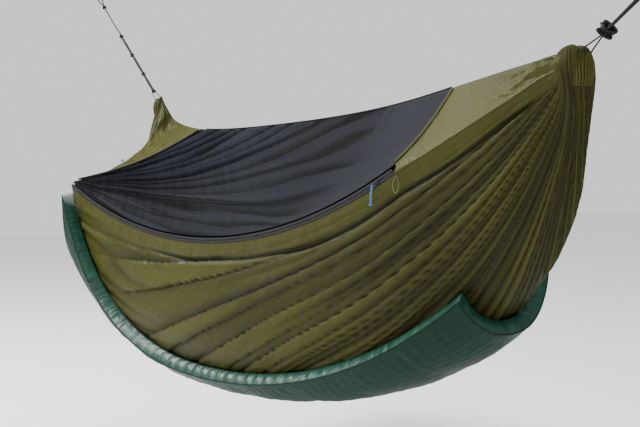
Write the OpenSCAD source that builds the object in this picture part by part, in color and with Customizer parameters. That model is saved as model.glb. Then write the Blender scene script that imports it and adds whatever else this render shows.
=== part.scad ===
// Camping hammock with a zipped insect net and a boxed underquilt, hung at its real sag.
// The origin is the near hanging point. +X runs along the hammock to its near end, +Z is up,
// and the zipped side faces -Y. All lengths are in millimetres.

/* [Hanging] */
// Distance between the two gathered ends
hang_span = 2600; // [2300:10:3120]
// Angle of the suspension ropes above the horizontal
rope_rise = 33; // [28:1:38]
// Length of the near suspension, from the gather to the carabiner
near_rope_length = 270; // [225:5:330]
// Length of the far suspension, from the gather to the carabiner
far_rope_length = 1000; // [830:5:1200]
// Diameter of the suspension rope
rope_d = 6; // [5:0.5:7]

/* [Bed] */
// Depth of the bed below the line between the gathers
bed_depth = 897; // [750:1:1080]
// How far the side walls bulge out
bed_bulge = 107; // [85:1:130]
// Sideways slant of the bed's lowest line over half the span
bed_slant = 230; // [190:1:275]
// Thickness of the bed's cloth
bed_cloth = 2; // [1.5:0.5:3]
// Height of the gathered end
gather_height = 90; // [75:1:110]

/* [Far edge] */
// How far the far edge stands out sideways
far_edge_out = 290; // [240:1:350]
// How far the far edge hangs below the gathers at mid span
far_edge_drop = 94; // [78:1:113]

/* [Zip] */
// Radius of the arc that the zip hangs in
zip_radius = 1830; // [1700:1:2200]
// Turn of the zip's plane about the vertical
zip_yaw = 13.3; // [11:0.1:15]
// Depth of the zip's lowest point below the gathers
zip_depth = 510; // [430:1:600]
// Sideways place of the zip's lowest point
zip_side = 362; // [310:1:420]
// Angle from the lowest point to the far end of the zip
zip_far_angle = 23.4; // [20:0.1:25]
// Angle from the lowest point to the near end of the zip
zip_near_angle = 29.3; // [25:0.1:30]
// Angle from the lowest point to the slider
slider_angle = 27.4; // [0:0.1:28]
// Width of the zip's tape beside the coil
tape_width = 6.2; // [5:0.1:8]

/* [Insect net] */
// Place of the net's far seam along the far edge, from mid span
net_far_x = 1030; // [950:1:1060]
// Place of the net's near seam along the far edge, from mid span
net_near_x = 660; // [560:1:720]
// How far the net sags, as a share of its width
net_sag = 0.1; // [0.06:0.005:0.14]
// Thickness of the net
net_cloth = 1.5; // [1:0.5:2]

/* [Underquilt] */
// Far end of the underquilt, from mid span
quilt_far_x = 790; // [660:1:795]
// Near end of the underquilt, from mid span
quilt_near_x = 915; // [780:1:1000]
// Loft of the underquilt at its walls
quilt_loft = 50; // [40:1:60]
// Share of the loft that is tucked flat at the near outer corner
quilt_tuck = 0.1; // [0:0.05:0.65]
// Thickness of the underquilt's cloth
quilt_cloth = 2; // [1.5:0.5:3]

/* [Carabiners] */
// Diameter of the carabiner's rod
rod_d = 8; // [7:0.5:9]
// Inside width of the carabiner
carabiner_inside = 20; // [18:1:24]
// Straight length of the carabiner's spine
carabiner_spine = 52; // [44:1:62]

/* [Hidden] */

half_span = hang_span / 2;
gap = 0.3;              // clearance between pieces that lie against each other
arc_fn = 48;            // facets of round bars, which are rebuilt as true arcs

gather_width = 52;      // width of the gathered hem at each end
gather_drop = 12;       // how far its top stands above the gather's centre
near_gather = [half_span, 0, 0];
far_gather = [-half_span, 0, 0];
near_way = [cos(rope_rise), 0, sin(rope_rise)];
far_way = [-cos(rope_rise), 0, sin(rope_rise)];
basket_r = (carabiner_inside + rod_d) / 2;
crown = carabiner_spine + basket_r - rod_d / 2;
near_hook = near_gather + near_way * near_rope_length;
far_hook = far_gather + far_way * far_rope_length;
near_hang = near_hook + near_way * (basket_r + crown);

// ---------- small helpers ----------

function unit(v) = v / norm(v);
function mix(a, b, k) = a + (b - a) * k;
function clamp01(k) = min(1, max(0, k));
function ease(k) = clamp01(k) * clamp01(k) * (3 - 2 * clamp01(k));
function flatten(rows) = [for (row = rows) each row];
function steps(n) = [for (i = [0:n]) i / n];

// Points in the part's own frame, whose origin is the near hanging point
module hung() translate(-near_hang) children();

// Two triangles for the quad a, b, c, d
function quad(a, b, c, d) = [[a, b, c], [a, c, d]];

// Closed skin between two grids of points that have the same rows and columns
module skin(top, under) {
    rows = len(top);
    cols = len(top[0]);
    size = rows * cols;
    function at(i, j) = i * cols + j;
    polyhedron(
        points = concat(flatten(top), flatten(under)),
        faces = concat(
            [for (i = [0:rows - 2], j = [0:cols - 2])
                each quad(at(i, j), at(i + 1, j), at(i + 1, j + 1), at(i, j + 1))],
            [for (i = [0:rows - 2], j = [0:cols - 2])
                each quad(size + at(i, j), size + at(i, j + 1),
                          size + at(i + 1, j + 1), size + at(i + 1, j))],
            [for (i = [0:rows - 2])
                each quad(at(i, 0), size + at(i, 0), size + at(i + 1, 0), at(i + 1, 0))],
            [for (i = [0:rows - 2])
                each quad(at(i, cols - 1), at(i + 1, cols - 1),
                          size + at(i + 1, cols - 1), size + at(i, cols - 1))],
            [for (j = [0:cols - 2])
                each quad(at(0, j), at(0, j + 1), size + at(0, j + 1), size + at(0, j))],
            [for (j = [0:cols - 2])
                each quad(at(rows - 1, j), size + at(rows - 1, j),
                          size + at(rows - 1, j + 1), at(rows - 1, j + 1))]));
}

// Closed ring of cross sections, each with the same number of points
module ring(sections) {
    n = len(sections);
    m = len(sections[0]);
    polyhedron(
        points = flatten(sections),
        faces = [for (i = [0:n - 1], j = [0:m - 1])
            each quad(i * m + j, ((i + 1) % n) * m + j,
                      ((i + 1) % n) * m + (j + 1) % m, i * m + (j + 1) % m)]);
}

function path_way(path, i) =
    unit(path[min(i + 1, len(path) - 1)] - path[max(i - 1, 0)]);

// Round section of a tube at one point of its path
function tube_section(path, i, r, sides, side_way) =
    let(way = path_way(path, i),
        across = unit(cross(side_way, way)),
        up = cross(way, across))
    [for (k = [0:sides - 1])
        path[i] + across * r * cos(360 * k / sides) + up * r * sin(360 * k / sides)];

// Tube along an open path
module tube(path, r, sides = 8, side_way = [0.12, 0.31, 0.94]) {
    sections = [for (i = [0:len(path) - 1]) tube_section(path, i, r, sides, side_way)];
    n = len(path);
    polyhedron(
        points = flatten(sections),
        faces = concat(
            [for (i = [0:n - 2], j = [0:sides - 1])
                each quad(i * sides + j, i * sides + (j + 1) % sides,
                          (i + 1) * sides + (j + 1) % sides, (i + 1) * sides + j)],
            [[for (j = [sides - 1:-1:0]) j]],
            [[for (j = [0:sides - 1]) (n - 1) * sides + j]]));
}

// Smooth curve through chosen points, with a few rings between each pair
function curve_between(a, b, c, d, k) =
    0.5 * (2 * b + (c - a) * k + (2 * a - 5 * b + 4 * c - d) * k * k
           + (3 * b - a - 3 * c + d) * k * k * k);
function curve(points, rings) =
    let(last = len(points) - 1)
    concat([for (i = [0:last - 1], k = [0:rings - 1])
                curve_between(points[max(i - 1, 0)], points[i], points[i + 1],
                              points[min(i + 2, last)], k / rings)],
           [points[last]]);

// ---------- the hung shape ----------

zip_centre = [-92, -zip_side, zip_radius - zip_depth];

// Point on the zip's arc, an angle from its lowest point
function zip_point(angle, r = zip_radius) =
    zip_centre + [r * sin(angle) * cos(zip_yaw), r * sin(angle) * sin(zip_yaw), -r * cos(angle)];

// Edge of the bed on the zipped side, drop below the zip's centre line
function near_edge(x, drop = 0) =
    let(r = zip_radius + drop,
        far_end = zip_point(-zip_far_angle, r),
        near_end = zip_point(zip_near_angle, r),
        from_far = clamp01((x + half_span) / (far_end[0] + half_span)),
        from_near = clamp01((half_span - x) / (half_span - near_end[0])),
        along = (x - zip_centre[0]) / cos(zip_yaw))
    x < far_end[0] ? [x, far_end[1] * pow(from_far, 1.35), far_end[2] * pow(from_far, 0.5)]
    : x > near_end[0] ? [x, near_end[1] * from_near, near_end[2] * from_near]
    : [x, zip_centre[1] + along * sin(zip_yaw), zip_centre[2] - sqrt(r * r - along * along)];

// Edge of the bed on the other side
function far_edge(x) =
    let(t = x / half_span)
    [x, far_edge_out * pow(1 + t, 1.4) * pow(1 - t, 1.9),
     -far_edge_drop * (1 - pow(abs(t), 10)) * (1 - 0.9 * t)];

// Share of the full depth that the bed reaches at a place along the span
function fullness(t) = pow(1 - pow(abs(t), 2.5), 0.63);
function lowest_line(x) =
    let(t = x / half_span)
    [x, (25 + bed_slant * t) * fullness(t), -bed_depth * fullness(t)];

rim_drop = 1.8 + tape_width + 1.5 * gap + 0.6;

// Point of the bed: x along the span, w across it from -1 at the zipped edge to 1
function bed_point(x, w) =
    let(t = x / half_span,
        turn = 90 * sign(w) * (1 - pow(1 - abs(w), 1.37)),
        near = near_edge(x, rim_drop),
        far = far_edge(x),
        middle = (near + far) / 2)
    middle + (far - near) / 2 * sign(w) * pow(abs(sin(turn)), 1.05)
    + (lowest_line(x) - middle) * pow(max(0, cos(turn)), 0.73)
    + [0, bed_bulge * pow(1 - t * t, 1.2) * (1 - 0.46 * t * sign(w)) * sin(2 * turn), 0];

// Outward normal of the bed
function bed_normal(x, w) =
    let(dx = 4, dw = 0.01,
        w_low = max(-1, w - dw),
        w_high = min(1, w + dw))
    unit(cross(bed_point(x, w_high) - bed_point(x, w_low),
               bed_point(x + dx, w) - bed_point(x - dx, w)));
function bed_at(x, w, off) = bed_point(x, w) + off * bed_normal(x, w);

bed_end_x = half_span * 0.97;
bed_rows = 46;
bed_columns = 34;

// Row of the bed's points, gathered into the end where the place is past the bed's last row
function bed_row(x, off, gathered) =
    let(end = x > 0 ? near_gather : far_gather,
        bunch = end + [-sign(x) * 16, 0, -10])
    [for (j = [0:bed_columns])
        let(p = bed_at(x, -1 + 2 * j / bed_columns, off))
        gathered ? mix(p, bunch, 0.72) : p];
function bed_rows_at(off) = concat(
    [bed_row(-bed_end_x, off, true)],
    [for (i = [0:bed_rows])
        bed_row(-bed_end_x * cos(180 * i / bed_rows), off, false)],
    [bed_row(bed_end_x, off, true)]);

module bed() color([0.33, 0.34, 0.17]) hung()
    skin(bed_rows_at(0), bed_rows_at(-bed_cloth));

// ---------- covers over the bed ----------

// Cloth stretched from the zipped edge to the far edge, between two pairs of places.
// Its sag is a share of its width: one at its two ends and one half way between them.
function cover_point(near_x, far_x, s, q, drop, lift, sag) =
    let(near = near_edge(mix(near_x[0], near_x[1], s), drop),
        far = far_edge(mix(far_x[0], far_x[1], s)))
    mix(near, far, q)
    + [0, 0, lift - mix(sag[0], sag[1], sin(180 * s)) * norm(far - near) * sin(180 * q)];
module cover(near_x, far_x, drop, lift, sag, thick, rows, cols) {
    function grid(up) = [for (s = steps(rows)) [for (q = steps(cols))
        cover_point(near_x, far_x, s, q, drop, up, sag)]];
    skin(grid(lift), grid(lift + thick));
}

seam_half = 1.5;        // half the room that a seam covers between the net and an end panel
seam_near = [zip_point(zip_near_angle)[0] + 2, net_near_x];
seam_far = [zip_point(-zip_far_angle)[0] - 2, -net_far_x];
panel_lift = 0.8 + 1.4 * bed_cloth;     // height of a cover above the rim that it is sewn to
panel_sag = 0.045;
panel_end_x = half_span - gather_width * 0.85 - 0.5;
far_panel_end_x = half_span - gather_width * 1.3;
seam_r = 3.5;
binding_r = 2.5;

module insect_net() color([0.30, 0.31, 0.35, 0.8]) hung()
    cover([seam_far[0] + seam_half, seam_near[0] - seam_half],
          [seam_far[1] + seam_half, seam_near[1] - seam_half],
          -rim_drop, panel_lift, [panel_sag, net_sag], net_cloth, 26, 10);
module near_top_panel() color([0.36, 0.37, 0.19]) hung()
    cover([seam_near[0] + seam_half, panel_end_x], [seam_near[1] + seam_half, panel_end_x],
          rim_drop, panel_lift, [panel_sag, panel_sag], bed_cloth, 14, 8);
module far_top_panel() color([0.42, 0.44, 0.24]) hung()
    cover([-far_panel_end_x, seam_far[0] - seam_half], [-far_panel_end_x, seam_far[1] - seam_half],
          rim_drop, panel_lift, [panel_sag, panel_sag], bed_cloth, 14, 8);

// Rolled hem along a slanted seam of the net
module seam_roll(seam)
    tube([for (k = steps(16))
        cover_point([seam[0], seam[0]], [seam[1], seam[1]], 0, 0.03 + 0.94 * k, -rim_drop,
                    panel_lift + bed_cloth + 1.6 * seam_r + gap, [panel_sag, panel_sag])],
        seam_r, 8, [1, 0.2, 0.1]);
module near_net_seam() color([0.42, 0.43, 0.25]) hung() seam_roll(seam_near);
module far_net_seam() color([0.12, 0.12, 0.13]) hung() seam_roll(seam_far);

module far_edge_binding() color([0.08, 0.08, 0.09]) hung()
    tube([for (k = steps(40))
        far_edge(mix(24 - net_far_x, net_near_x - 24, k))
        + [0, 0, panel_lift + net_cloth + 1.6 * binding_r + gap]],
        binding_r, 8, [0, 0.2, 1]);

// ---------- zip ----------

coil_gap = 0.5;
coil_width = 1.3;
coil_thick = 2;
tape_thick = 0.6;
zip_sweep = zip_far_angle + zip_near_angle;

// The zip's own plane: first axis down, second along the zip, third out of the hammock
module in_zip_plane() hung() translate(zip_centre) rotate([90, 90, zip_yaw]) children();
module zip_strip(from_r, to_r, thick)
    in_zip_plane() rotate([0, 0, -zip_far_angle])
    rotate_extrude(angle = zip_sweep, $fn = 360)
    translate([min(from_r, to_r), -thick / 2]) square([abs(to_r - from_r), thick]);

coil_outer = coil_gap + coil_width;
module zip_coil_bed() color([0.05, 0.05, 0.06])
    zip_strip(zip_radius + coil_gap, zip_radius + coil_outer, coil_thick);
module zip_coil_net() color([0.05, 0.05, 0.06])
    zip_strip(zip_radius - coil_gap, zip_radius - coil_outer, coil_thick);
module zip_tape_bed() color([0.07, 0.07, 0.08])
    zip_strip(zip_radius + coil_outer, zip_radius + coil_outer + tape_width, tape_thick);
module zip_tape_net() color([0.07, 0.07, 0.08])
    zip_strip(zip_radius - coil_outer, zip_radius - coil_outer - tape_width, tape_thick);

stop_length = 3;
stop_thick = 4.6;
module zip_end_stops() color([0.1, 0.1, 0.11]) in_zip_plane()
    for (end = [-1, 1])
        rotate([0, 0, end < 0 ? -zip_far_angle : zip_near_angle])
        translate([zip_radius - coil_outer, end < 0 ? -stop_length : 0, -stop_thick / 2])
        cube([2 * coil_outer, stop_length, stop_thick]);

// The slider's own axes: across the zip, along it to the near end, and out of the hammock
slider_length = 13;
slider_width = 9.6;
plate_thick = 1.3;
plate_in = coil_thick / 2 + 0.4;
flange = 1.4;
flange_gap = tape_thick / 2 + 0.4;
bridge_width = 2;
bridge_rise = 5.4;
pintle_r = 0.7;
pintle_out = plate_in + plate_thick + 3.5;
module at_slider() in_zip_plane() rotate([0, 0, slider_angle])
    translate([zip_radius, 0, 0]) children();
module block(low, high) translate(low) cube(high - low);

module zip_slider() color([0.10, 0.10, 0.12]) at_slider() {
    w = slider_width / 2;
    l = slider_length / 2;
    for (side = [-1, 1]) {
        z_plate = side > 0 ? plate_in : -plate_in - plate_thick;
        block([-w, -l, z_plate], [w, l, z_plate + plate_thick]);
        for (edge = [-1, 1]) {
            x_low = edge > 0 ? w - flange : -w;
            z_low = side > 0 ? flange_gap : -plate_in;
            block([x_low, -l, z_low], [x_low + flange, l, z_low + plate_in - flange_gap]);
        }
    }
    block([-0.2, l - 3.5, -plate_in], [0.2, l, plate_in]);
    top = plate_in + plate_thick;
    for (end = [-1, 1]) {
        y_low = end > 0 ? l - 2.5 : 1.5 - l;
        block([-bridge_width / 2, y_low, top], [bridge_width / 2, y_low + 1, top + bridge_rise]);
    }
    block([-bridge_width / 2, 1.5 - l, top + bridge_rise - 0.9],
          [bridge_width / 2, l - 1.5, top + bridge_rise]);
}

tab_length = 17;
tab_width = 7;
tab_thick = 1.2;
tab_eye = 2.4;          // radius of the eye that the pull cord passes through
module zip_pull_tab() color([0.16, 0.17, 0.19]) at_slider()
    translate([0, 0, pintle_out]) {
        rotate([0, 90, 0]) cylinder(r = pintle_r, h = tab_width - 2, center = true, $fn = arc_fn);
        for (side = [-1, 1])
            block([side > 0 ? tab_width / 2 - 1.2 : -tab_width / 2, -9, -tab_thick / 2],
                  [side > 0 ? tab_width / 2 : 1.2 - tab_width / 2, 1, tab_thick / 2]);
        difference() {
            translate([0, -tab_length + tab_width / 2, -tab_thick / 2])
                cylinder(d = tab_width, h = tab_thick, $fn = arc_fn);
            translate([0, -tab_length + tab_width / 2, -tab_thick])
                cylinder(r = tab_eye, h = 2 * tab_thick, $fn = arc_fn);
        }
        block([-tab_width / 2, -tab_length + tab_width - 0.6, -tab_thick / 2],
              [tab_width / 2, -8, tab_thick / 2]);
    }

// Place of the tab's eye in the hammock's own axes, and the way out of the zipped side
zip_out = [sin(zip_yaw), -cos(zip_yaw), 0];
zip_along = [cos(zip_yaw), sin(zip_yaw), 0];
slider_way = zip_along * cos(slider_angle) + [0, 0, sin(slider_angle)];
pull_eye = zip_point(slider_angle) - slider_way * (tab_length - tab_width / 2)
    + zip_out * pintle_out;

pull_cord_d = 1.8;
// Route of the pull cord from its knot, round the end of the tab, through its eye and back.
// Each place is down, sideways and out from the eye.
pull_points = [
    [46, -1.6, 5.2], [36, -2.3, 5.1], [26, -2.5, 4.4], [18, -2.2, 2.2], [12, -1.4, -0.8],
    [7.6, -0.8, -3.3], [4, -0.3, -4], [1.17, -0.1, -2.83], [0, 0, 0], [1.17, 0.1, 2.83],
    [4, 0.5, 4], [9, 1.4, 4.8], [16, 2.2, 5], [26, 2.6, 5.1], [36, 2.3, 5.2], [46, 1.6, 5.2]];
function pull_place(p) = pull_eye - [0, 0, p[0]] + zip_along * p[1] + zip_out * p[2];

// ---------- carabiners ----------

rod_r = rod_d / 2;
hinge_x = 8;
pin_r = 1.5;
pin_clearance = 0.05;
slot_half = 2;
tongue_half = 1.7;
gate_r = rod_r - 0.3;
gate_start = hinge_x + rod_r + 0.5;
nose = 5;
gate_end = carabiner_spine - nose - 0.5;
spring_bore_r = 1.8;
spring_r = 1.5;
spring_length = 11;

// Axes of a carabiner: along its rope, then up, then across
module near_hooked() hung() translate(near_hook + near_way * basket_r)
    rotate([0, -rope_rise, 0]) rotate([90, 0, 0]) children();
module far_hooked() hung() translate(far_hook + far_way * basket_r)
    rotate([0, rope_rise - 180, 0]) rotate([-90, 0, 0]) children();

module bar(x0, x1, r) translate([x0, 0, 0]) rotate([0, 90, 0])
    cylinder(r = r, h = x1 - x0, $fn = arc_fn);
module cross_pin(r, half) translate([hinge_x, -basket_r, 0])
    cylinder(r = r, h = 2 * half, center = true, $fn = arc_fn);

module carabiner_body() color([0.55, 0.56, 0.58]) {
    for (end = [0, 1])
        translate([end * carabiner_spine, 0, 0]) rotate([0, 0, end > 0 ? -90 : 90])
        rotate_extrude(angle = 180, $fn = 96) translate([basket_r, 0]) circle(r = rod_r, $fn = arc_fn);
    translate([0, basket_r, 0]) bar(0, carabiner_spine, rod_r);
    translate([0, -basket_r, 0]) bar(carabiner_spine - nose, carabiner_spine, rod_r);
    difference() {
        union() {
            translate([0, -basket_r, 0]) bar(0, hinge_x, rod_r);
            cross_pin(rod_r, rod_r - 0.6);
        }
        translate([hinge_x - rod_r - 0.2, -basket_r - rod_r - 1, -slot_half])
            cube([2 * rod_r + 2, 2 * rod_r + 2, 2 * slot_half]);
        cross_pin(pin_r, rod_r + 1);
    }
}

module gate() color([0.62, 0.63, 0.65])
    difference() {
        union() {
            translate([0, -basket_r, 0]) bar(gate_start, gate_end, gate_r);
            cross_pin(3, tongue_half);
            translate([hinge_x, -basket_r - 2.6, -tongue_half])
                cube([gate_start - hinge_x + 1, 5.2, 2 * tongue_half]);
        }
        cross_pin(pin_r + pin_clearance, rod_r + 1);
        translate([0, -basket_r, 0]) bar(gate_start + 3, gate_start + 3 + spring_length + 1, spring_bore_r);
    }

module gate_pin() color([0.45, 0.46, 0.48]) cross_pin(pin_r, rod_r - 0.6);

module gate_spring() color([0.5, 0.5, 0.52]) translate([0, -basket_r, 0])
    difference() {
        bar(gate_start + 3.5, gate_start + 3.5 + spring_length, spring_r);
        bar(gate_start + 3, gate_start + 4 + spring_length, spring_r - 0.4);
    }

module near_carabiner() near_hooked() carabiner_body();
module near_gate() near_hooked() gate();
module near_gate_pin() near_hooked() gate_pin();
module near_gate_spring() near_hooked() gate_spring();
module far_carabiner() far_hooked() carabiner_body();
module far_gate() far_hooked() gate();
module far_gate_pin() far_hooked() gate_pin();
module far_gate_spring() far_hooked() gate_spring();

// ---------- ropes, knots and gathers ----------

rope_r = rope_d / 2;
eye_r = 12;             // radius of the rope's eye round the carabiner's rod
eye_end = rod_r + rope_r + gap;

// Point beside a rope: along it from the gather, across, and up from it
near_up = [-sin(rope_rise), 0, cos(rope_rise)];
far_up = [sin(rope_rise), 0, cos(rope_rise)];
function beside(start, way, up, p) = start + way * p[0] + [0, p[1], 0] + up * p[2];
function near_beside(p) = beside(near_gather, near_way, near_up, p);
function far_beside(p) = beside(far_gather, far_way, far_up, p);

// Half of the eye that a rope makes round a rod at the given distance
function eye_arc(reach) = [for (a = [90:-22.5:-90])
    [reach + eye_end - eye_r + eye_r * cos(a), eye_r * sin(a), 0]];

// The near suspension: a bight from the knot, over the carabiner and back
near_knot_at = 66;
near_strand = [[74, 9, 5], [100, 8, 4], [130, 5.5, 2], [160, 3.2, 0], [200, 3.2, 0], [230, 6, 0]];
function mirrored(points) =
    [for (i = [len(points) - 1:-1:0]) [points[i][0], -points[i][1], -points[i][2]]];
near_route = concat(near_strand, eye_arc(near_rope_length), mirrored(near_strand));

module near_rope() color([0.07, 0.07, 0.08]) hung()
    tube(curve([for (p = near_route) near_beside(p)], 3), rope_r, 8);

// Barrel of a knot, its axis along the rope
module barrel(length, width) rotate_extrude($fn = arc_fn)
    intersection() {
        translate([0, -length / 2]) square([width, length]);
        translate([-width * 0.6, 0]) circle(r = width * 1.1, $fn = 96);
    }
module along_near(at) hung() translate(near_gather + near_way * at)
    rotate([0, 90 - rope_rise, 0]) children();
module along_far(at) hung() translate(far_gather + far_way * at)
    rotate([0, rope_rise - 90, 0]) children();

module near_knot() color([0.06, 0.06, 0.07]) along_near(near_knot_at) barrel(24, 24);

// The cord threaded through the gathered hem, tied off in the knot
channel_points = [
    [60, 4, 2], [44, 8, 3], [24, 12, 2], [4, 14, 0], [-12, 12.5, -5], [-25, 0, -9],
    [-12, -12.5, -5], [4, -14, 0], [24, -12, -2], [44, -8, -3], [60, -4, -2]];
module near_channel_cord() color([0.06, 0.06, 0.07]) hung()
    tube(curve([for (p = channel_points) near_beside(p)], 3), rope_r * 0.6, 8);
far_channel_points = channel_points;
module far_channel_cord() color([0.06, 0.06, 0.07]) hung()
    tube(curve([for (p = far_channel_points) far_beside(p)], 3), rope_r * 0.6, 8);

// Gathered hem at each end of the bed
module gathered_hem() intersection() {
    rotate_extrude($fn = arc_fn) intersection() {
        square([gather_width / 2, gather_height], center = false);
        translate([-gather_height * 0.42, gather_height / 2])
            circle(r = gather_height * 0.42 + gather_width / 2, $fn = 96);
    }
    translate([0, 0, gather_height / 2]) cube(gather_height, center = true);
}
module near_channel() color([0.35, 0.36, 0.18]) hung()
    translate(near_gather + [-gather_width * 0.35, 0, gather_drop - gather_height]) gathered_hem();
module far_channel() color([0.38, 0.40, 0.22]) hung()
    translate(far_gather + [gather_width * 0.35, 0, gather_drop - gather_height]) gathered_hem();

// The far suspension: knotted every few hands, doubled as far as its last knot
far_knot_places = [62, 220, 400, 590];
far_strand = [[70, 4, 0], [130, 3.6, 0], [220, 0.4, 3.4], [300, 3.8, 0], [400, 0.4, 3.4],
    [500, 3.8, 0], [590, 2, 2], [700, 0, 0], [800, 0, 0], [870, 0, 0], [920, 1, 0], [950, 6, 0]];
far_eye_tail = [[950, -6, 0], [926, -5, 4], [905, -4, 6]];
far_reach = 1000;       // reach that the far rope's points are chosen for
far_eye_points = concat(
    [for (p = eye_arc(far_rope_length)) p],
    [for (p = far_eye_tail) [p[0] + far_rope_length - far_reach, p[1], p[2]]]);
function near_the_eye(p) = p[0] > 880 ? [p[0] + far_rope_length - far_reach, p[1], p[2]] : p;
module far_rope() color([0.07, 0.07, 0.08]) hung()
    tube(curve([for (p = concat([for (q = far_strand) near_the_eye(q)], far_eye_points))
                far_beside(p)], 3), rope_r, 8);
far_return_points = [[70, -4, 0], [130, -3.6, 0], [220, -0.4, -3.4], [300, -3.8, 0],
    [400, -0.4, -3.4], [500, -3.8, 0], [586, -4, -1]];
module far_rope_return() color([0.07, 0.07, 0.08]) hung()
    tube(curve([for (p = far_return_points) far_beside(p)], 3), rope_r, 8);

eye_knot_from_end = 90;
module far_knots() color([0.06, 0.06, 0.07]) {
    for (at = far_knot_places) along_far(at) barrel(18, 19);
    along_far(far_rope_length - eye_knot_from_end) barrel(20, 20);
}

// ---------- small cords and loops ----------

module zip_pull_cord() color([0.16, 0.33, 0.62]) hung()
    tube(curve([for (p = pull_points) pull_place(p)], 2), pull_cord_d / 2, 8);
module zip_pull_knot() color([0.12, 0.25, 0.52]) hung()
    translate(pull_place([50, 0, 5.4])) barrel(12, 4);

tie_d = 2;
// Route of the tie-back cord below the zip's near end: along, out, up
tie_points = [
    [14, 3.6, -10], [8, 4, -21], [5, 4, -34], [7, 4.4, -46], [15, 4.6, -54], [23, 4.4, -46],
    [25, 4, -34], [22, 4, -21], [18, 3.6, -10]];
module tie_back_cord() color([0.25, 0.24, 0.12]) hung()
    tube(curve([for (p = tie_points)
                zip_point(zip_near_angle) + zip_along * p[0] + zip_out * p[1] + [0, 0, p[2]]], 2),
         tie_d / 2, 8);

loop_r = 9;
loop_cord_r = 2;
// Loop of cord that stands on the bed, its plane along the span
module guy_loop(place, out) hung() translate(place)
    rotate([0, acos(out[2]), atan2(out[1], out[0])]) rotate([90, 0, 0])
    rotate_extrude(angle = 180, $fn = 96) translate([loop_r, 0]) circle(r = loop_cord_r, $fn = 24);
edge_loop_x = -1000;
side_loop_x = 750;
side_loop_w = 0.84;
module guy_loops() color([0.05, 0.05, 0.05]) {
    guy_loop(near_edge(edge_loop_x, 0) + [0, 0, 2], [0, 0, 1]);
    guy_loop(bed_at(side_loop_x, side_loop_w, gap), bed_normal(side_loop_x, side_loop_w));
}

// ---------- underquilt ----------

// Its near and far side borders across the bed, which rise to the rim at opposite corners
quilt_side = 0.54;
quilt_rim = 0.985;
function side_border(x, corner_x) =
    1 - pow(1 - quilt_side - (quilt_rim - quilt_side) * pow(clamp01(x / corner_x), 3), 0.73);
function quilt_loft_at(x, w) =
    quilt_loft * (1 - quilt_tuck * ease((x - quilt_near_x + 400) / 400) * ease((w + 0.35) / 0.6));
function quilt_at(p, q, off) =
    let(x = mix(-quilt_far_x, quilt_near_x, p),
        w_near = -side_border(-x, quilt_far_x),
        w_far = side_border(x, quilt_near_x),
        w = mix(w_near, w_far, q))
    bed_at(x, w, (off < 0 ? quilt_loft_at(x, w) : 0) + off);

quilt_rows = 30;
quilt_cols = 16;
fill_inset = 0.01;
quilt_start = 5;        // room between the bed and the underquilt's hem

// Layer of the underquilt: a positive offset is from the bed, a negative one from its outside
module quilt_layer(outer, inner, inset) {
    function place(k) = max(inset, min(1 - inset, k));
    function grid(off) = [for (p = steps(quilt_rows)) [for (q = steps(quilt_cols))
        quilt_at(place(p), place(q), off)]];
    skin(grid(outer), grid(inner));
}
outermost = -0.001;
module underquilt_shell() color([0.12, 0.26, 0.20]) hung()
    quilt_layer(outermost, -quilt_cloth, 0);
module underquilt_fill() color([0.85, 0.86, 0.84]) hung()
    quilt_layer(-quilt_cloth - 5, quilt_start + 1.8, fill_inset);

// Places round the underquilt's border, in order
border_steps = quilt_rows;
end_steps = quilt_cols;
border = concat(
    [for (i = [0:border_steps - 1]) [i / border_steps, 0]],
    [for (i = [0:end_steps - 1]) [1, i / end_steps]],
    [for (i = [0:border_steps - 1]) [1 - i / border_steps, 1]],
    [for (i = [0:end_steps - 1]) [0, 1 - i / end_steps]]);
wall_inset = 0.004;
wall_gap = 3.5;          // room between the wall's top and the shell
function inset_place(b, k) = [mix(k, 1 - k, b[0]), mix(k, 1 - k, b[1])];
module underquilt_wall() color([0.27, 0.42, 0.36]) hung()
    ring([for (b = border)
        let(inner = inset_place(b, wall_inset))
        [quilt_at(b[0], b[1], quilt_start), quilt_at(inner[0], inner[1], quilt_start),
         quilt_at(inner[0], inner[1], -quilt_cloth - wall_gap),
         quilt_at(b[0], b[1], -quilt_cloth - wall_gap)]]);

elastic_r = 1.4;
module underquilt_elastic() color([0.1, 0.1, 0.1]) hung()
    ring([for (b = border)
        let(k = inset_place(b, 0.012),
            inner = inset_place(b, 0.016),
            centre = quilt_at(k[0], k[1], quilt_start / 2 + 0.6),
            up = unit(quilt_at(k[0], k[1], quilt_start + 5) - centre),
            across = unit(quilt_at(inner[0], inner[1], quilt_start / 2 + 0.6) - centre))
        [for (a = [0:60:300]) centre + across * elastic_r * cos(a) + up * elastic_r * sin(a)]]);

near_carabiner();
near_gate();
near_gate_pin();
near_gate_spring();
far_carabiner();
far_gate();
far_gate_pin();
far_gate_spring();
near_rope();
near_knot();
near_channel_cord();
near_channel();
far_rope();
far_rope_return();
far_knots();
far_channel_cord();
far_channel();
bed();
near_top_panel();
far_top_panel();
insect_net();
far_edge_binding();
near_net_seam();
far_net_seam();
zip_tape_bed();
zip_tape_net();
zip_coil_bed();
zip_coil_net();
zip_end_stops();
zip_slider();
zip_pull_tab();
zip_pull_cord();
zip_pull_knot();
tie_back_cord();
guy_loops();
underquilt_shell();
underquilt_wall();
underquilt_fill();
underquilt_elastic();
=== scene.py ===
"""Camping hammock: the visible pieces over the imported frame.

Every piece is built in metres in the frame's own axes: the origin is the near hanging point,
+X runs along the hammock to its near end, +Z is up, and the zipped side faces -Y.
"""

import math

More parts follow.
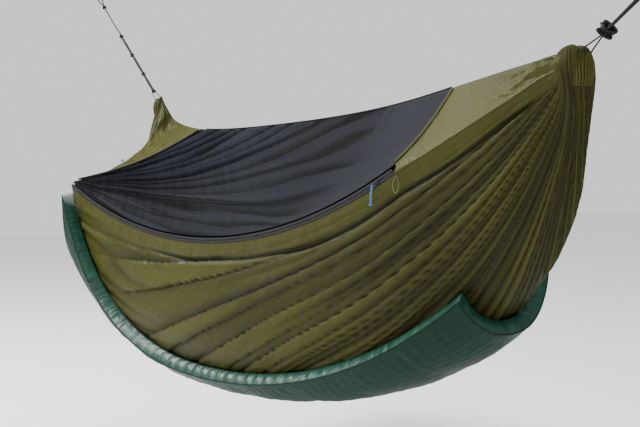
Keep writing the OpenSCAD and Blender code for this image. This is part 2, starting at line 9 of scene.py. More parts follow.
import bpy
import numpy as np
from bpy.props import FloatProperty, FloatVectorProperty, IntProperty, PointerProperty
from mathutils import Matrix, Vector


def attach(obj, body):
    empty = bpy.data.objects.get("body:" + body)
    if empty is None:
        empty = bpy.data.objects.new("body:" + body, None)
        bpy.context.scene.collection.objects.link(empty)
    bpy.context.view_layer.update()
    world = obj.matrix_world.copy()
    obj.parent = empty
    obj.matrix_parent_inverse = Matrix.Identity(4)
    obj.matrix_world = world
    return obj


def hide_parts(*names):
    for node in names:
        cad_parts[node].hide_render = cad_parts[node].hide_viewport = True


bl_info = {
    "name": "Camping Hammock",
    "version": (1, 0, 0),
    "blender": (4, 5, 0),
    "location": "3D View > Sidebar > Hammock",
    "description": "Builds the cloth, cords, zip and stage of a camping hammock over its frame",
    "category": "Object",
}

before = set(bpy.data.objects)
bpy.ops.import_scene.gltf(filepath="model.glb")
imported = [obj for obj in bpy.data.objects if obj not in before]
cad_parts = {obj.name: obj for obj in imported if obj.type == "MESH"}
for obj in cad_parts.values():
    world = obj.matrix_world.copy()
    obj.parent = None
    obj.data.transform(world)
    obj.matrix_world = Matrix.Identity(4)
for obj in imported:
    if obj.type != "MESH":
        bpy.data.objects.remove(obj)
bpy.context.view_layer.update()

# ---- sizes shared with the frame

HALF = 1.3                       # half the distance between the two gathered ends
RISE = math.radians(33)          # slope of both suspension ropes
NEAR_ROPE, FAR_ROPE = 270, 1000  # lengths of the suspensions, in the millimetres of the cords' routes
ROPE_R, CORD_R = 0.003, 0.0018   # suspension ropes and gathering cords
PULL_R, TIE_R = 0.0009, 0.001    # the zip's pull cord and the tie-back cord
ZIP_R, ZIP_YAW = 1.83, math.radians(13.3)
ZIP_FAR, ZIP_NEAR = math.radians(-23.4), math.radians(29.3)
ZIP_CENTRE = np.array([-0.092, -0.362, 1.32])
SLIDER_AT = math.radians(27.4)
RIM_DROP = 0.00905               # from the zip's line to the edge of the cloth
NET_FAR, NET_NEAR = -1.03, 0.66  # the net's seams along the far edge
QUILT_FAR, QUILT_NEAR = -0.79, 0.915
CROWN_END = 0.985                # share of the half span at which the gathered cloth closes
SHEET = 0.0009                   # thickness of the cloth
PANEL_LIFT = 0.0046              # end panels above the edges that they lie on
NET_LIFT = 0.0044
SEAM_LIFT, SEAM_R = 0.0088, 0.0035
PANEL_SAG, NET_SAG = 0.045, 0.1  # share of the width by which each droops in its middle
HANG_REACH = 0.346               # from the near gather to the anchor
HANG = np.array([HALF + math.cos(RISE) * HANG_REACH, 0, math.sin(RISE) * HANG_REACH])
UP = np.array([0, 0, 1.0])


def ease(k):
    k = np.clip(k, 0, 1)
    return k * k * (3 - 2 * k)


def mix(a, b, k):
    return a + (b - a) * k


def stack(x, y, z):
    return np.stack(np.broadcast_arrays(x, y, z), axis=-1).astype(float)


def unit(v):
    return v / np.maximum(np.linalg.norm(v, axis=-1, keepdims=True), 1e-12)


def pair(u, v):
    return np.stack(np.broadcast_arrays(u, v), -1)


def share_grid(rows, cols, margin=0.0):
    """Shares of the way along and across, for each point of a grid."""
    return np.meshgrid(np.linspace(margin, 1 - margin, rows), np.linspace(margin, 1 - margin, cols),
                       indexing="ij")


# ---- the hung shape


def zip_point(angle, r=ZIP_R):
    angle = np.asarray(angle, float)
    return ZIP_CENTRE + stack(r * np.sin(angle) * math.cos(ZIP_YAW),
                              r * np.sin(angle) * math.sin(ZIP_YAW), -r * np.cos(angle))


def near_edge(x, drop=0.0):
    """The edge of the bed on the zipped side."""
    x = np.asarray(x, float)
    r = ZIP_R + drop
    far, near = zip_point(ZIP_FAR, r), zip_point(ZIP_NEAR, r)
    u = np.clip((x + HALF) / (far[0] + HALF), 0, 1)
    w = np.clip((HALF - x) / (HALF - near[0]), 0, 1)
    along = np.clip((x - ZIP_CENTRE[0]) / math.cos(ZIP_YAW), -1.7, 1.7)
    middle_y = ZIP_CENTRE[1] + along * math.sin(ZIP_YAW)
    middle_z = ZIP_CENTRE[2] - np.sqrt(r * r - along * along)
    before, after = x < far[0], x > near[0]
    return stack(x, np.where(before, far[1] * u ** 1.35, np.where(after, near[1] * w, middle_y)),
                 np.where(before, far[2] * u ** 0.5, np.where(after, near[2] * w, middle_z)))


def far_edge(x):
    t = np.clip(np.asarray(x, float) / HALF, -1, 1)
    return stack(x, 0.29 * (1 + t) ** 1.4 * (1 - t) ** 1.9,
                 -0.094 * (1 - np.abs(t) ** 10) * (1 - 0.9 * t))


def bed_surface(x, w):
    """The bed: x along the span, and w across it from -1 at the zipped edge to 1."""
    x, w = np.broadcast_arrays(np.asarray(x, float), np.asarray(w, float))
    t = np.clip(x / HALF, -1, 1)
    side = np.sign(w)
    turn = np.pi / 2 * side * (1 - (1 - np.minimum(np.abs(w), 1)) ** 1.37)
    near, far = near_edge(x, RIM_DROP), far_edge(x)
    full = (1 - np.abs(t) ** 2.5) ** 0.63
    low = stack(x, (0.025 + 0.23 * t) * full, -0.897 * full)
    middle = (near + far) / 2
    across = (side * np.abs(np.sin(turn)) ** 1.05)[..., None]
    down = (np.maximum(0, np.cos(turn)) ** 0.73)[..., None]
    point = middle + (far - near) / 2 * across + (low - middle) * down
    point[..., 1] += 0.107 * (1 - t * t) ** 1.2 * (1 - 0.46 * t * side) * np.sin(2 * turn)
    return point


def grid_normals(points, upward=False):
    """Normals of a grid whose rows run along the span and whose columns run across it."""
    along = np.gradient(points, axis=0)
    across = np.gradient(points, axis=1)
    n = unit(np.cross(across, along))
    return -n if upward else n


def bed_point(x, w, off=0.0):
    """Points of the bed, moved outwards by off."""
    x, w = np.broadcast_arrays(np.asarray(x, float), np.asarray(w, float))
    low, high = np.maximum(w - 0.01, -1), np.minimum(w + 0.01, 1)
    n = unit(np.cross(bed_surface(x, high) - bed_surface(x, low),
                      bed_surface(x + 0.004, w) - bed_surface(x - 0.004, w)))
    return bed_surface(x, w) + n * np.asarray(off)[..., None]


def cover_surface(near_x, far_x, s, q, drop, lift, sag):
    """Cloth from the zipped edge to the far edge: s along the span and q across."""
    near = near_edge(mix(near_x[0], near_x[1], s), drop)
    far = far_edge(mix(far_x[0], far_x[1], s))
    point = near + (far - near) * np.asarray(q)[..., None]
    droop = mix(sag[0], sag[1], np.sin(np.pi * s)) * np.linalg.norm(far - near, axis=-1)
    point[..., 2] += lift - droop * np.sin(np.pi * q)
    return point


SEAM_NEAR = (float(zip_point(ZIP_NEAR)[0]) + 0.002, NET_NEAR)
SEAM_FAR = (float(zip_point(ZIP_FAR)[0]) - 0.002, NET_FAR)
PANEL_END = HALF * CROWN_END
ALONG = np.array([math.cos(ZIP_YAW), math.sin(ZIP_YAW), 0])
OUT = np.array([math.sin(ZIP_YAW), -math.cos(ZIP_YAW), 0])
NEAR_WAY = np.array([math.cos(RISE), 0, math.sin(RISE)])
NEAR_UP = np.array([-math.sin(RISE), 0, math.cos(RISE)])
FAR_WAY = np.array([-math.cos(RISE), 0, math.sin(RISE)])
FAR_UP = np.array([math.sin(RISE), 0, math.cos(RISE)])
NEAR_GATHER, FAR_GATHER = np.array([HALF, 0, 0]), np.array([-HALF, 0, 0])
SLIDER_WAY = ALONG * math.cos(SLIDER_AT) + np.array([0, 0, math.sin(SLIDER_AT)])
PULL_EYE = zip_point(SLIDER_AT) - SLIDER_WAY * 0.0135 + OUT * 0.0062

# ---- settings


def colour_setting(name, what, value):
    return FloatVectorProperty(name=name, description="Colour of the " + what, subtype="COLOR", size=4,
                               min=0, max=1, default=(*value, 1))


def length_setting(name, what, value, least, most):
    return FloatProperty(name=name, description=what, default=value, min=least, max=most, unit="LENGTH")


def count_setting(name, what, value):
    return IntProperty(name=name, description=what, default=value, min=8, max=60)


class HammockCloth(bpy.types.PropertyGroup):
    """Cloth of the bed, the net and the underquilt"""
    bed_colour: colour_setting("Bed", "bed's cloth", (0.043, 0.043, 0.0085))
    net_colour: colour_setting("Net", "insect net", (0.0074, 0.0080, 0.0118))
    quilt_colour: colour_setting("Underquilt", "underquilt's shell", (0.0030, 0.022, 0.0125))
    wall_colour: colour_setting("Underquilt wall", "underquilt's wall", (0.0045, 0.032, 0.020))
    fold_depth: length_setting("Fold depth", "Depth of the folds that run from the gathers", 0.019, 0, 0.03)
    near_folds: count_setting("Near folds", "Folds that leave the near gather", 21)
    far_folds: count_setting("Far folds", "Folds that leave the far gather", 17)
    net_folds: length_setting("Net fold depth", "Depth of the folds in the net", 0.022, 0, 0.03)
    quilt_puff: length_setting("Underquilt puff", "How far each channel of the underquilt swells",
                               0.004, 0, 0.02)


class HammockTrim(bpy.types.PropertyGroup):
    """Cords, zip and stitching"""
    rope_colour: colour_setting("Rope", "suspension rope", (0.006, 0.006, 0.007))
    pull_colour: colour_setting("Zip pull", "zip's pull cord", (0.05, 0.20, 0.48))
    tooth_pitch: length_setting("Tooth pitch", "Distance between the zip's teeth", 0.0022, 0.001, 0.005)
    stitch_pitch: length_setting("Stitch pitch", "Distance between stitches", 0.005, 0.002, 0.01)


def cloth():
    return bpy.context.scene.hammock_cloth


def trim():
    return bpy.context.scene.hammock_trim


# ---- meshes


def hung(points):
    """From axes centred between the two gathers to the frame's own axes."""
    return np.asarray(points, float) - HANG


def mesh_object(name, points, faces, uv=None, fold=None):
    mesh = bpy.data.meshes.new(name)
    mesh.from_pydata(np.asarray(points).tolist(), [], [list(f) for f in faces])
    if uv is not None:
        layer = mesh.uv_layers.new(name="Cloth")
        index = np.empty(len(mesh.loops), int)
        mesh.loops.foreach_get("vertex_index", index)
        layer.data.foreach_set("uv", np.asarray(uv, float)[index].ravel())
    # the 'fold' attribute holds the painted shade that the cloth finishes which read it put on each point
    if fold is not None:
        attribute = mesh.attributes.new("fold", "FLOAT", "POINT")
        attribute.data.foreach_set("value", np.asarray(fold, float).ravel())
    mesh.polygons.foreach_set("use_smooth", [True] * len(mesh.polygons))
    mesh.validate()
    obj = bpy.data.objects.new(name, mesh)
    bpy.context.scene.collection.objects.link(obj)
    return obj


def grid_faces(rows, cols, upward=False, closed_rows=False, closed_cols=False):
    i, j = np.meshgrid(np.arange(rows if closed_rows else rows - 1),
                       np.arange(cols if closed_cols else cols - 1), indexing="ij")
    i, j = i.ravel(), j.ravel()
    i1, j1 = (i + 1) % rows, (j + 1) % cols
    corners = [i * cols + j, i * cols + j1, i1 * cols + j1, i1 * cols + j]
    return np.stack(corners[::-1] if upward else corners, axis=1)


def sheet_object(name, points, uv, fold=None, upward=False, thick=SHEET):
    """A sheet of cloth from a grid of points, its outside facing away from the bed."""
    rows, cols = points.shape[:2]
    obj = mesh_object(name, hung(points).reshape(-1, 3), grid_faces(rows, cols, upward), uv.reshape(-1, 2),
                      None if fold is None else fold.ravel())
    if thick:
        solid = obj.modifiers.new("Cloth thickness", "SOLIDIFY")
        solid.thickness = thick
        solid.offset = -1
    return obj


def curve_through(points, rings=5):
    """A smooth curve through chosen points, as in the frame."""
    p = np.asarray(points, float)
    last = len(p) - 1
    out = []
    for i in range(last):
        a, b, c, d = p[max(i - 1, 0)], p[i], p[i + 1], p[min(i + 2, last)]
        for k in np.arange(rings) / rings:
            out.append(0.5 * (2 * b + (c - a) * k + (2 * a - 5 * b + 4 * c - d) * k * k
                              + (3 * b - a - 3 * c + d) * k ** 3))
    out.append(p[last])
    return np.array(out)


def sweep_frames(path, closed=False):
    """Directions across and up at each point of a path, without twist."""
    if closed:
        way = unit(np.roll(path, -1, 0) - np.roll(path, 1, 0))
    else:
        way = unit(np.gradient(path, axis=0))
    start = np.cross(way[0], [0.12, 0.31, 0.94])
    across = [start / np.linalg.norm(start)]
    for i in range(1, len(path)):
        a = across[-1] - way[i] * np.dot(across[-1], way[i])
        across.append(a / np.linalg.norm(a))
    across = np.array(across)
    return across, np.cross(way, across)


def tube_object(name, path, r, sides=14, closed=False):
    """A cord along a path in the gather-centred axes, with rounded ends."""
    path = np.asarray(path, float)
    across, up = sweep_frames(path, closed)
    n = len(path)
    radius = np.full(n, r, float)
    if not closed:
        radius[0] = radius[-1] = r * 0.82
    length = np.concatenate([[0], np.cumsum(np.linalg.norm(np.diff(path, axis=0), axis=1))])
    angle = np.arange(sides + 1) * 2 * np.pi / sides
    rings = (path[:, None] + across[:, None] * (radius[:, None] * np.cos(angle))[..., None]
             + up[:, None] * (radius[:, None] * np.sin(angle))[..., None])
    uv = pair(length[:, None], angle / (2 * np.pi))
    points = rings[:, :-1].reshape(-1, 3)
    faces = [list(f) for f in grid_faces(n, sides, True, closed, True)]
    if not closed:
        faces += [list(range(sides)), [n * sides - 1 - k for k in range(sides)]]
    return mesh_object(name, hung(points), faces, uv[:, :-1].reshape(-1, 2))


def apply_modifiers(obj):
    """Turns what the modifiers make into the object's own mesh."""
    depsgraph = bpy.context.evaluated_depsgraph_get()
    mesh = bpy.data.meshes.new_from_object(obj.evaluated_get(depsgraph), depsgraph=depsgraph)
    name = obj.name
    made = bpy.data.objects.new(name + "_made", mesh)
    bpy.context.scene.collection.objects.link(made)
    bpy.data.objects.remove(obj, do_unlink=True)
    made.name = name
    mesh.name = name
    return made


def join_meshes(name, parts):
    """One object from several, each at the origin."""
    points, faces, uvs = [], [], []
    for part in parts:
        base = len(points)
        mesh = part.data
        layer = mesh.uv_layers[0].data if mesh.uv_layers else None
        by_point = np.zeros((len(mesh.vertices), 2))
        if layer:
            for loop in mesh.loops:
                by_point[loop.vertex_index] = layer[loop.index].uv
        points += [tuple(v.co) for v in mesh.vertices]
        uvs += by_point.tolist()
        faces += [[base + v for v in p.vertices] for p in mesh.polygons]
    for part in parts:
        bpy.data.objects.remove(part, do_unlink=True)
    return mesh_object(name, points, faces, uvs)


# ---- folds


def valley_noise(seed, count, low, high):
    return np.random.RandomState(seed).uniform(low, high, count)


def soft_wave(x, seed, waves=5, base=1.0):
    """A smooth wandering curve between about -1 and 1."""
    rng = np.random.RandomState(seed)
    total = 0
    for k in range(waves):
        total = total + np.sin(x * base * (1 + 1.7 * k) + rng.uniform(0, 6.28)) / (1 + 0.8 * k)
    return total / 1.8


def ridges(u, seed, sharp=0.6, least=0.45):
    """Round ridges with tight valleys, one for each whole number of u, each its own height."""
    count = 400
    heights = valley_noise(seed, count, least, 1.0)
    k = np.floor(u).astype(int) % count
    return np.abs(np.sin(np.pi * (u - np.floor(u)))) ** sharp * heights[k], k


def fan(t, w):
    """Which fold of a gather a place lies on, by the folds' count from each rim."""
    t = np.minimum(t, 0.955)
    k = 1.65 * np.sqrt(1 - t)
    spread = k / (1 + k ** 4) ** 0.25 * np.exp(1.3 * (0.3 - t + np.sqrt((0.3 - t) ** 2 + 0.03)) - 0.11)
    return (1 - np.abs(w)) / spread


def bed_folds(t, w):
    """Height of the folds of the bed, from 0 in a valley to 1 on a ridge, and their strength."""
    c = cloth()
    place = fan(t, w)
    place = np.where(place > 0.9, 0.9 + 0.55 * (place - 0.9), place)
    wander = 0.55 * soft_wave(place * 9 + np.sign(w) * 2, 3, 4) + 0.04 * soft_wave(t * 5 + place * 7, 5)
    u = place * c.near_folds + wander + 60 * (w > 0)
    big, k = ridges(u, 11, 0.55, 0.35)
    reach = valley_noise(12, 400, -0.85, 0.15)[k]
    near_strength = ease((t - reach) / 0.55)
    small, _ = ridges(u * 2.37 + 0.16 * soft_wave(t * 6 + place * 9, 9), 31, 0.7, 0.2)
    back = fan(-t, w)
    high_far, k_far = ridges(back * c.far_folds + 0.5 * soft_wave(back * 8 + 3, 7, 4), 21, 0.6)
    far_strength = ease((-t - 0.62 - valley_noise(22, 400, 0.0, 0.2)[k_far]) / 0.2)
    fine_on = ease((t + 0.15) / 0.5) * ease((0.86 - t) / 0.2)
    height = (big * (1 - 0.32 * fine_on) + 0.32 * fine_on * small) * near_strength
    height = height + high_far * far_strength * 0.7
    return height, np.maximum(near_strength, 0.7 * far_strength)


def bed_relief(x, w):
    """How far the cloth of the bed stands in or out of its even surface, in metres, and the painted shade
    that its folds get.
    """
    t = x / HALF
    height, strength = bed_folds(t, w)
    # no fold is deeper than the cloth between two of them allows
    room = np.clip(1.18 * (1 - np.abs(t) ** 3.0) + 0.10, 0.20, 1)
    rim = ease((1 - np.abs(w)) / 0.05)
    relief = cloth().fold_depth * (height - 0.6 * strength) * room * rim
    # the deep fold under the flat facing along the zip
    line = -0.93 - 0.012 * soft_wave(t * 4, 41)
    on = ease((t + 0.45) / 0.4) * ease((0.95 - t) / 0.1)
    crease = np.exp(-((w - line) / 0.010) ** 2) * on
    relief = relief - 0.012 * crease
    # long level folds towards the far corner
    down = (w + 1) * (1 + 0.5 * t)
    level, _ = ridges(down * 15 + 0.9 * soft_wave(t * 3 + w * 5, 43, 3), 44, 0.9, 0.1)
    level_on = ease((-t + 0.05) / 0.4) * ease((w + 0.97) / 0.06) * ease((-0.05 - w) / 0.3)
    relief = relief + 0.009 * (level - 0.5) * level_on * ease((t + 0.97) / 0.2)
    # crumples of the facing, slanting away from the rim
    slant = soft_wave(t * 95 + w * 60, 47, 4) * soft_wave(t * 31 - w * 20, 48, 3)
    facing = np.exp(-((w + 0.965) / 0.035) ** 2)
    relief = relief + 0.0028 * slant * facing * ease((1 - np.abs(w)) / 0.015)
    relief = relief + 0.0010 * soft_wave(t * 60 + w * 35, 49, 4) * rim
    # painted shade: a mask that the bed's finish darkens where it is low, in the fold valleys, along the deep
    # crease under the facing and in the valleys of the level folds; the facing strip is left unshaded
    shade = np.clip(height + (1 - strength), 0, 1)
    shade = np.clip(shade + facing, 0, 1) * (1 - 0.9 * crease)
    valley = 1 - 0.55 * level_on * np.clip(0.6 - level, 0, 1) * 1.6
    shade = np.where(level_on > 0, np.minimum(shade, valley), shade)
    return relief, shade


def crown_blend(points, t, w, across=False):
    """Draws the ends of the bed, or of a panel that lies across it, together over the hems."""
    for side, end, start, wide, tall in ((1, NEAR_GATHER, 0.915, 0.048, 0.030),
                                         (-1, FAR_GATHER, 0.885, 0.032, 0.052)):
        k = np.clip((side * t - start) / (CROWN_END - start), 0, 1) + 0 * w
        rim = 126 + 46 * ease((k - 0.35) / 0.5)
        angle = np.radians(-rim - (180 - rim) * (w + 1) if across else rim * w)
        up = np.radians(-55 + 145 * ease((k - 0.15) / 0.85))
        reach = wide * (np.cos(up) if side > 0 else 1 - np.sin(up))
        apex = end + np.array([-side * 0.028, -0.006 * side, -0.022 if side > 0 else -0.048])
        lean = 0.0 if side > 0 else 0.35 * (1 - np.sin(up)) * wide
        dome = stack(apex[0] + side * reach * np.cos(angle) + lean,
                     apex[1] + reach * np.sin(angle) * 0.92, apex[2] + tall * np.sin(up))
        points = mix(points, dome, (ease(k / 0.8) ** 1.15)[..., None])
    return points


# ---- materials


class Socket:
    """A node's output in an expression: arithmetic on it adds Math nodes."""

    def __init__(self, finish, socket):
        self.finish = finish
        self.socket = socket

    def _math(self, operation, *values):
        return self.finish.node("ShaderNodeMath", {"operation": operation}, dict(enumerate(values)))

    def __add__(self, other):
        return self._math("ADD", self, other)

    __radd__ = __add__

    def __sub__(self, other):
        return self._math("SUBTRACT", self, other)

    def __rsub__(self, other):
        return self._math("SUBTRACT", other, self)

    def __mul__(self, other):
        return self._math("MULTIPLY", self, other)

    __rmul__ = __mul__

    def wave(self):
        return self._math("SINE", self)

    def size(self):
        return self._math("ABSOLUTE", self)

    def above(self, level):
        return self._math("GREATER_THAN", self, level)

    def ramp(self, low, high, to_low=0.0, to_high=1.0):
        return self.finish.node("ShaderNodeMapRange", {"clamp": True},
                                {"Value": self, "From Min": low, "From Max": high,
                                 "To Min": to_low, "To Max": to_high})

    def lines(self, pitch, width):
        """1 on evenly spaced lines and 0 between them."""
        return (self * (math.pi / pitch)).wave().size().ramp(0.0, width, 1.0, 0.0)

    def most(self, other):
        return self._math("MAXIMUM", self, other)


class Finish:
    """A material and its nodes."""

    def __init__(self, name, colour=(0.5, 0.5, 0.5, 1), roughness=0.6, metallic=0.0, **constants):
        self.material = bpy.data.materials.new(name)
        self.material.use_nodes = True
        self.tree = self.material.node_tree
        self.shader = self.tree.nodes["Principled BSDF"]
        self.set("Base Color", colour)
        self.set("Roughness", roughness)
        self.set("Metallic", metallic)
        for key, value in constants.items():
            self.shader.inputs[key.replace("_", " ")].default_value = value
        self.material.diffuse_color = colour if len(colour) == 4 else (*colour, 1)

    def node(self, kind, settings=None, values=None, output=0):
        made = self.tree.nodes.new(kind)
        for key, value in (settings or {}).items():
            setattr(made, key, value)
        for key, value in (values or {}).items():
            if isinstance(value, Socket):
                self.tree.links.new(value.socket, made.inputs[key])
            else:
                made.inputs[key].default_value = value
        return Socket(self, made.outputs[output])

    def set(self, name, value):
        if isinstance(value, Socket):
            self.tree.links.new(value.socket, self.shader.inputs[name])
        else:
            self.shader.inputs[name].default_value = value

    def place(self):
        return self.node("ShaderNodeTexCoord", output="Object")

    def cloth_place(self):
        return self.node("ShaderNodeUVMap", {"uv_map": "Cloth"})

    # The 'fold' attribute: the painted shade stored on each point of the cloth
    def fold(self):
        return self.node("ShaderNodeAttribute", {"attribute_name": "fold"}, output="Fac")

    def part(self, vector, index):
        return self.node("ShaderNodeSeparateXYZ", {}, {"Vector": vector}, output=index)

    def noise(self, where, scale, detail=3.0, rough=0.55, stretch=(1, 1, 1)):
        placed = self.node("ShaderNodeMapping", {}, {"Vector": where, "Scale": stretch})
        return self.node("ShaderNodeTexNoise", {"noise_dimensions": "3D"},
                         {"Vector": placed, "Scale": scale, "Detail": detail, "Roughness": rough}, "Fac")

    def blend(self, mask, low, high):
        return self.node("ShaderNodeMix", {"data_type": "RGBA"}, {0: mask, 6: low, 7: high}, output=2)

    def bump(self, height, distance, strength=1.0, under=None):
        values = {"Strength": strength, "Distance": distance, "Height": height}
        if under is not None:
            values["Normal"] = under
        return self.node("ShaderNodeBump", {}, values)


def tone(colour, k):
    """A colour made lighter or darker."""
    return (min(colour[0] * k, 1), min(colour[1] * k, 1), min(colour[2] * k, 1), 1)


def ripstop(name, colour, roughness=0.42, wrinkle=1.0, folds=True, crumple_highlight=1.32):
    """Light woven nylon: a fine square grid of thicker threads, small crumples, a soft sheen that is partly
    painted as a highlight on the crumples' high spots, and, where folds is set, painted shade in the fold
    valleys.
    """
    f = Finish(name, tuple(colour), roughness, Specular_IOR_Level=0.09)
    uv = f.cloth_place()
    u, v = f.part(uv, 0), f.part(uv, 1)
    grid = u.lines(0.005, 0.16).most(v.lines(0.005, 0.16))
    crumple = f.noise(uv, 26.0, 5.0, 0.6, (1, 1.7, 1))
    broad = f.noise(f.place(), 3.1, 3.0, 0.5)
    crease = (f.noise(uv, 9.0, 3.0, 0.6, (0.6, 3.2, 1)) - 0.5).size().ramp(0.0, 0.05, 1.0, 0.0)
    shade = f.blend(broad.ramp(0.3, 0.7), tone(colour, 0.86), tone(colour, 1.14))
    # painted highlight: the crumples' high spots are made lighter
    shade = f.blend(crumple.ramp(0.55, 0.8) * 0.45, shade, tone(colour, crumple_highlight))
    shade = f.blend(grid * 0.16, shade, tone(colour, 1.45))
    # painted shade: the fold valleys, read from the 'fold' attribute, are darkened
    if folds:
        fold = f.fold()
        shade = f.blend(fold.ramp(0.85, 0.15) * 0.92, shade, tone(colour, 0.12))
    f.set("Base Color", shade)
    f.set("Roughness", broad.ramp(0.25, 0.75, roughness - 0.06, roughness + 0.1))
    surface = f.bump(crumple, 0.006 * wrinkle, 0.6)
    surface = f.bump(crease, 0.0012 * wrinkle, 0.35, surface)
    surface = f.bump(grid, 0.00035, 0.5, surface)
    f.set("Normal", surface)
    return f.material


def net_cloth(name, colour):
    """Fine knitted mesh: two sets of threads with small holes between them, and painted shade read from the
    'fold' attribute.
    """
    f = Finish(name, tuple(colour), 0.5, Specular_IOR_Level=0.03)
    uv = f.cloth_place()
    u, v = f.part(uv, 0), f.part(uv, 1)
    threads = (u + v * 0.6).lines(0.0042, 0.62).most((v - u * 0.6).lines(0.0042, 0.62))
    coarse = u.lines(0.019, 0.25).most(v.lines(0.019, 0.25))
    broad = f.noise(uv, 5.0, 3.0, 0.55, (0.5, 1.6, 1))
    fold = f.fold()
    shade = f.blend(broad.ramp(0.3, 0.7), tone(colour, 0.8), tone(colour, 1.25))
    shade = f.blend(threads * 0.5, shade, tone(colour, 1.7))
    shade = f.blend(coarse * 0.22, shade, tone(colour, 0.6))
    # painted shade: darkened where the 'fold' attribute is high, in the net's fold valleys and over its far
    # corner
    shade = f.blend(fold, shade, tone(colour, 0.05))
    f.set("Base Color", shade)
    f.set("Alpha", (threads * 0.08 + 0.92 + fold * 0.2 + coarse * 0.05).ramp(0.0, 1.0))
    surface = f.bump(threads, 0.0004, 0.6)
    f.set("Normal", f.bump(broad, 0.006, 0.3, surface))
    return f.material


def braided(name, colour, r, strands=8, fleck=None):
    """Braided cord: two sets of crossing strands that follow the cord."""
    f = Finish(name, tuple(colour), 0.62, Specular_IOR_Level=0.2)
    uv = f.cloth_place()
    u, v = f.part(uv, 0), f.part(uv, 1)
    pitch = 2 * math.pi / (r * 5.0)
    one = (u * pitch + v * (2 * math.pi * strands / 2)).wave()
    two = (u * pitch - v * (2 * math.pi * strands / 2)).wave()
    weave = (one * two).ramp(-0.8, 0.8)
    fuzz = f.noise(f.place(), 700.0, 2.0)
    shade = f.blend(weave, tone(colour, 0.45), tone(colour, 1.7))
    if fleck is not None:
        shade = f.blend((one * one * two).above(0.72), shade, tuple(fleck))
    f.set("Base Color", shade)
    f.set("Roughness", fuzz.ramp(0.3, 0.7, 0.5, 0.75))
    f.set("Normal", f.bump(fuzz, 0.0003, 0.4, f.bump(weave, r * 0.3, 0.8)))
    return f.material


def webbing(name, colour, cell=0.0012):
    """Flat woven tape or thread."""
    f = Finish(name, tuple(colour), 0.6, Specular_IOR_Level=0.15)
    uv = f.cloth_place()
    u, v = f.part(uv, 0), f.part(uv, 1)
    weave = ((u + v) * (math.pi / cell)).wave() * ((u - v) * (math.pi / cell)).wave()
    grain = f.noise(f.place(), 160.0, 3.0)
    shade = f.blend(weave.ramp(-0.7, 0.7), tone(colour, 0.6), tone(colour, 1.5))
    f.set("Base Color", f.blend(grain.ramp(0.35, 0.7) * 0.35, shade, tone(colour, 2.0)))
    f.set("Roughness", grain.ramp(0.3, 0.7, 0.5, 0.72))
    f.set("Normal", f.bump(weave, 0.0003, 0.6))
    return f.material


def moulded(name, colour, roughness=0.4):
    """Moulded plastic with a faint grain and rubbed high spots."""
    f = Finish(name, tuple(colour), roughness)
    grain = f.noise(f.place(), 420.0, 4.0, 0.6)
    rubbed = f.noise(f.place(), 60.0, 2.0)
    f.set("Base Color", f.blend(rubbed.ramp(0.45, 0.75), tone(colour, 0.85), tone(colour, 1.5)))
    f.set("Roughness", grain.ramp(0.3, 0.7, roughness - 0.08, roughness + 0.12))
    f.set("Normal", f.bump(grain, 0.0002, 0.35))
    return f.material


def worked_metal(name, colour, roughness=0.32, stretch=(1, 1, 1)):
    """Drawn or tumbled metal with fine scratches and duller patches."""
    f = Finish(name, tuple(colour), roughness, 1.0)
    scratch = f.noise(f.place(), 900.0, 3.0, 0.7, stretch)
    patch = f.noise(f.place(), 45.0, 3.0)
    f.set("Base Color", f.blend(patch.ramp(0.35, 0.7), tone(colour, 0.82), tone(colour, 1.1)))
    f.set("Roughness", (scratch * 0.2 + patch * 0.18 + (roughness - 0.18)).ramp(0.0, 1.0))
    f.set("Normal", f.bump(scratch, 0.00012, 0.3))
    return f.material


def batting(name):
    """Loose white filling."""
    f = Finish(name, (0.8, 0.8, 0.78, 1), 0.9, Sheen_Weight=0.4)
    tuft = f.noise(f.place(), 40.0, 6.0, 0.7)
    f.set("Base Color", f.blend(tuft.ramp(0.3, 0.7), (0.62, 0.62, 0.6, 1), (0.9, 0.9, 0.88, 1)))
    f.set("Normal", f.bump(tuft, 0.012, 0.8))
    return f.material


def puckered(name, colour):
    """Thin shiny cloth, drawn into small puckers by an elastic."""
    f = Finish(name, tuple(colour), 0.4, Specular_IOR_Level=0.2)
    uv = f.cloth_place()
    pucker = f.noise(uv, 55.0, 4.0, 0.6, (1.0, 0.25, 1))
    broad = f.noise(f.place(), 6.0, 2.0)
    corner = f.part(f.place(), 0)
    pale = corner.ramp(QUILT_FAR - HANG[0], QUILT_FAR + 0.02 - HANG[0], 0.5, 0.0)
    # painted light and shade: the puckers' high spots are made lighter and their hollows darker
    shade = f.blend(pucker.ramp(0.3, 0.72), tone(colour, 0.7), tone(colour, 1.7))
    shade = f.blend(broad.ramp(0.3, 0.7) * 0.4, shade, tone(colour, 1.25))
    f.set("Base Color", f.blend(pale, shade, (0.62, 0.66, 0.60, 1)))
    f.set("Roughness", pucker.ramp(0.3, 0.7, 0.28, 0.5))
    f.set("Normal", f.bump(pucker, 0.006, 0.75))
    return f.material


FINISHES = {}


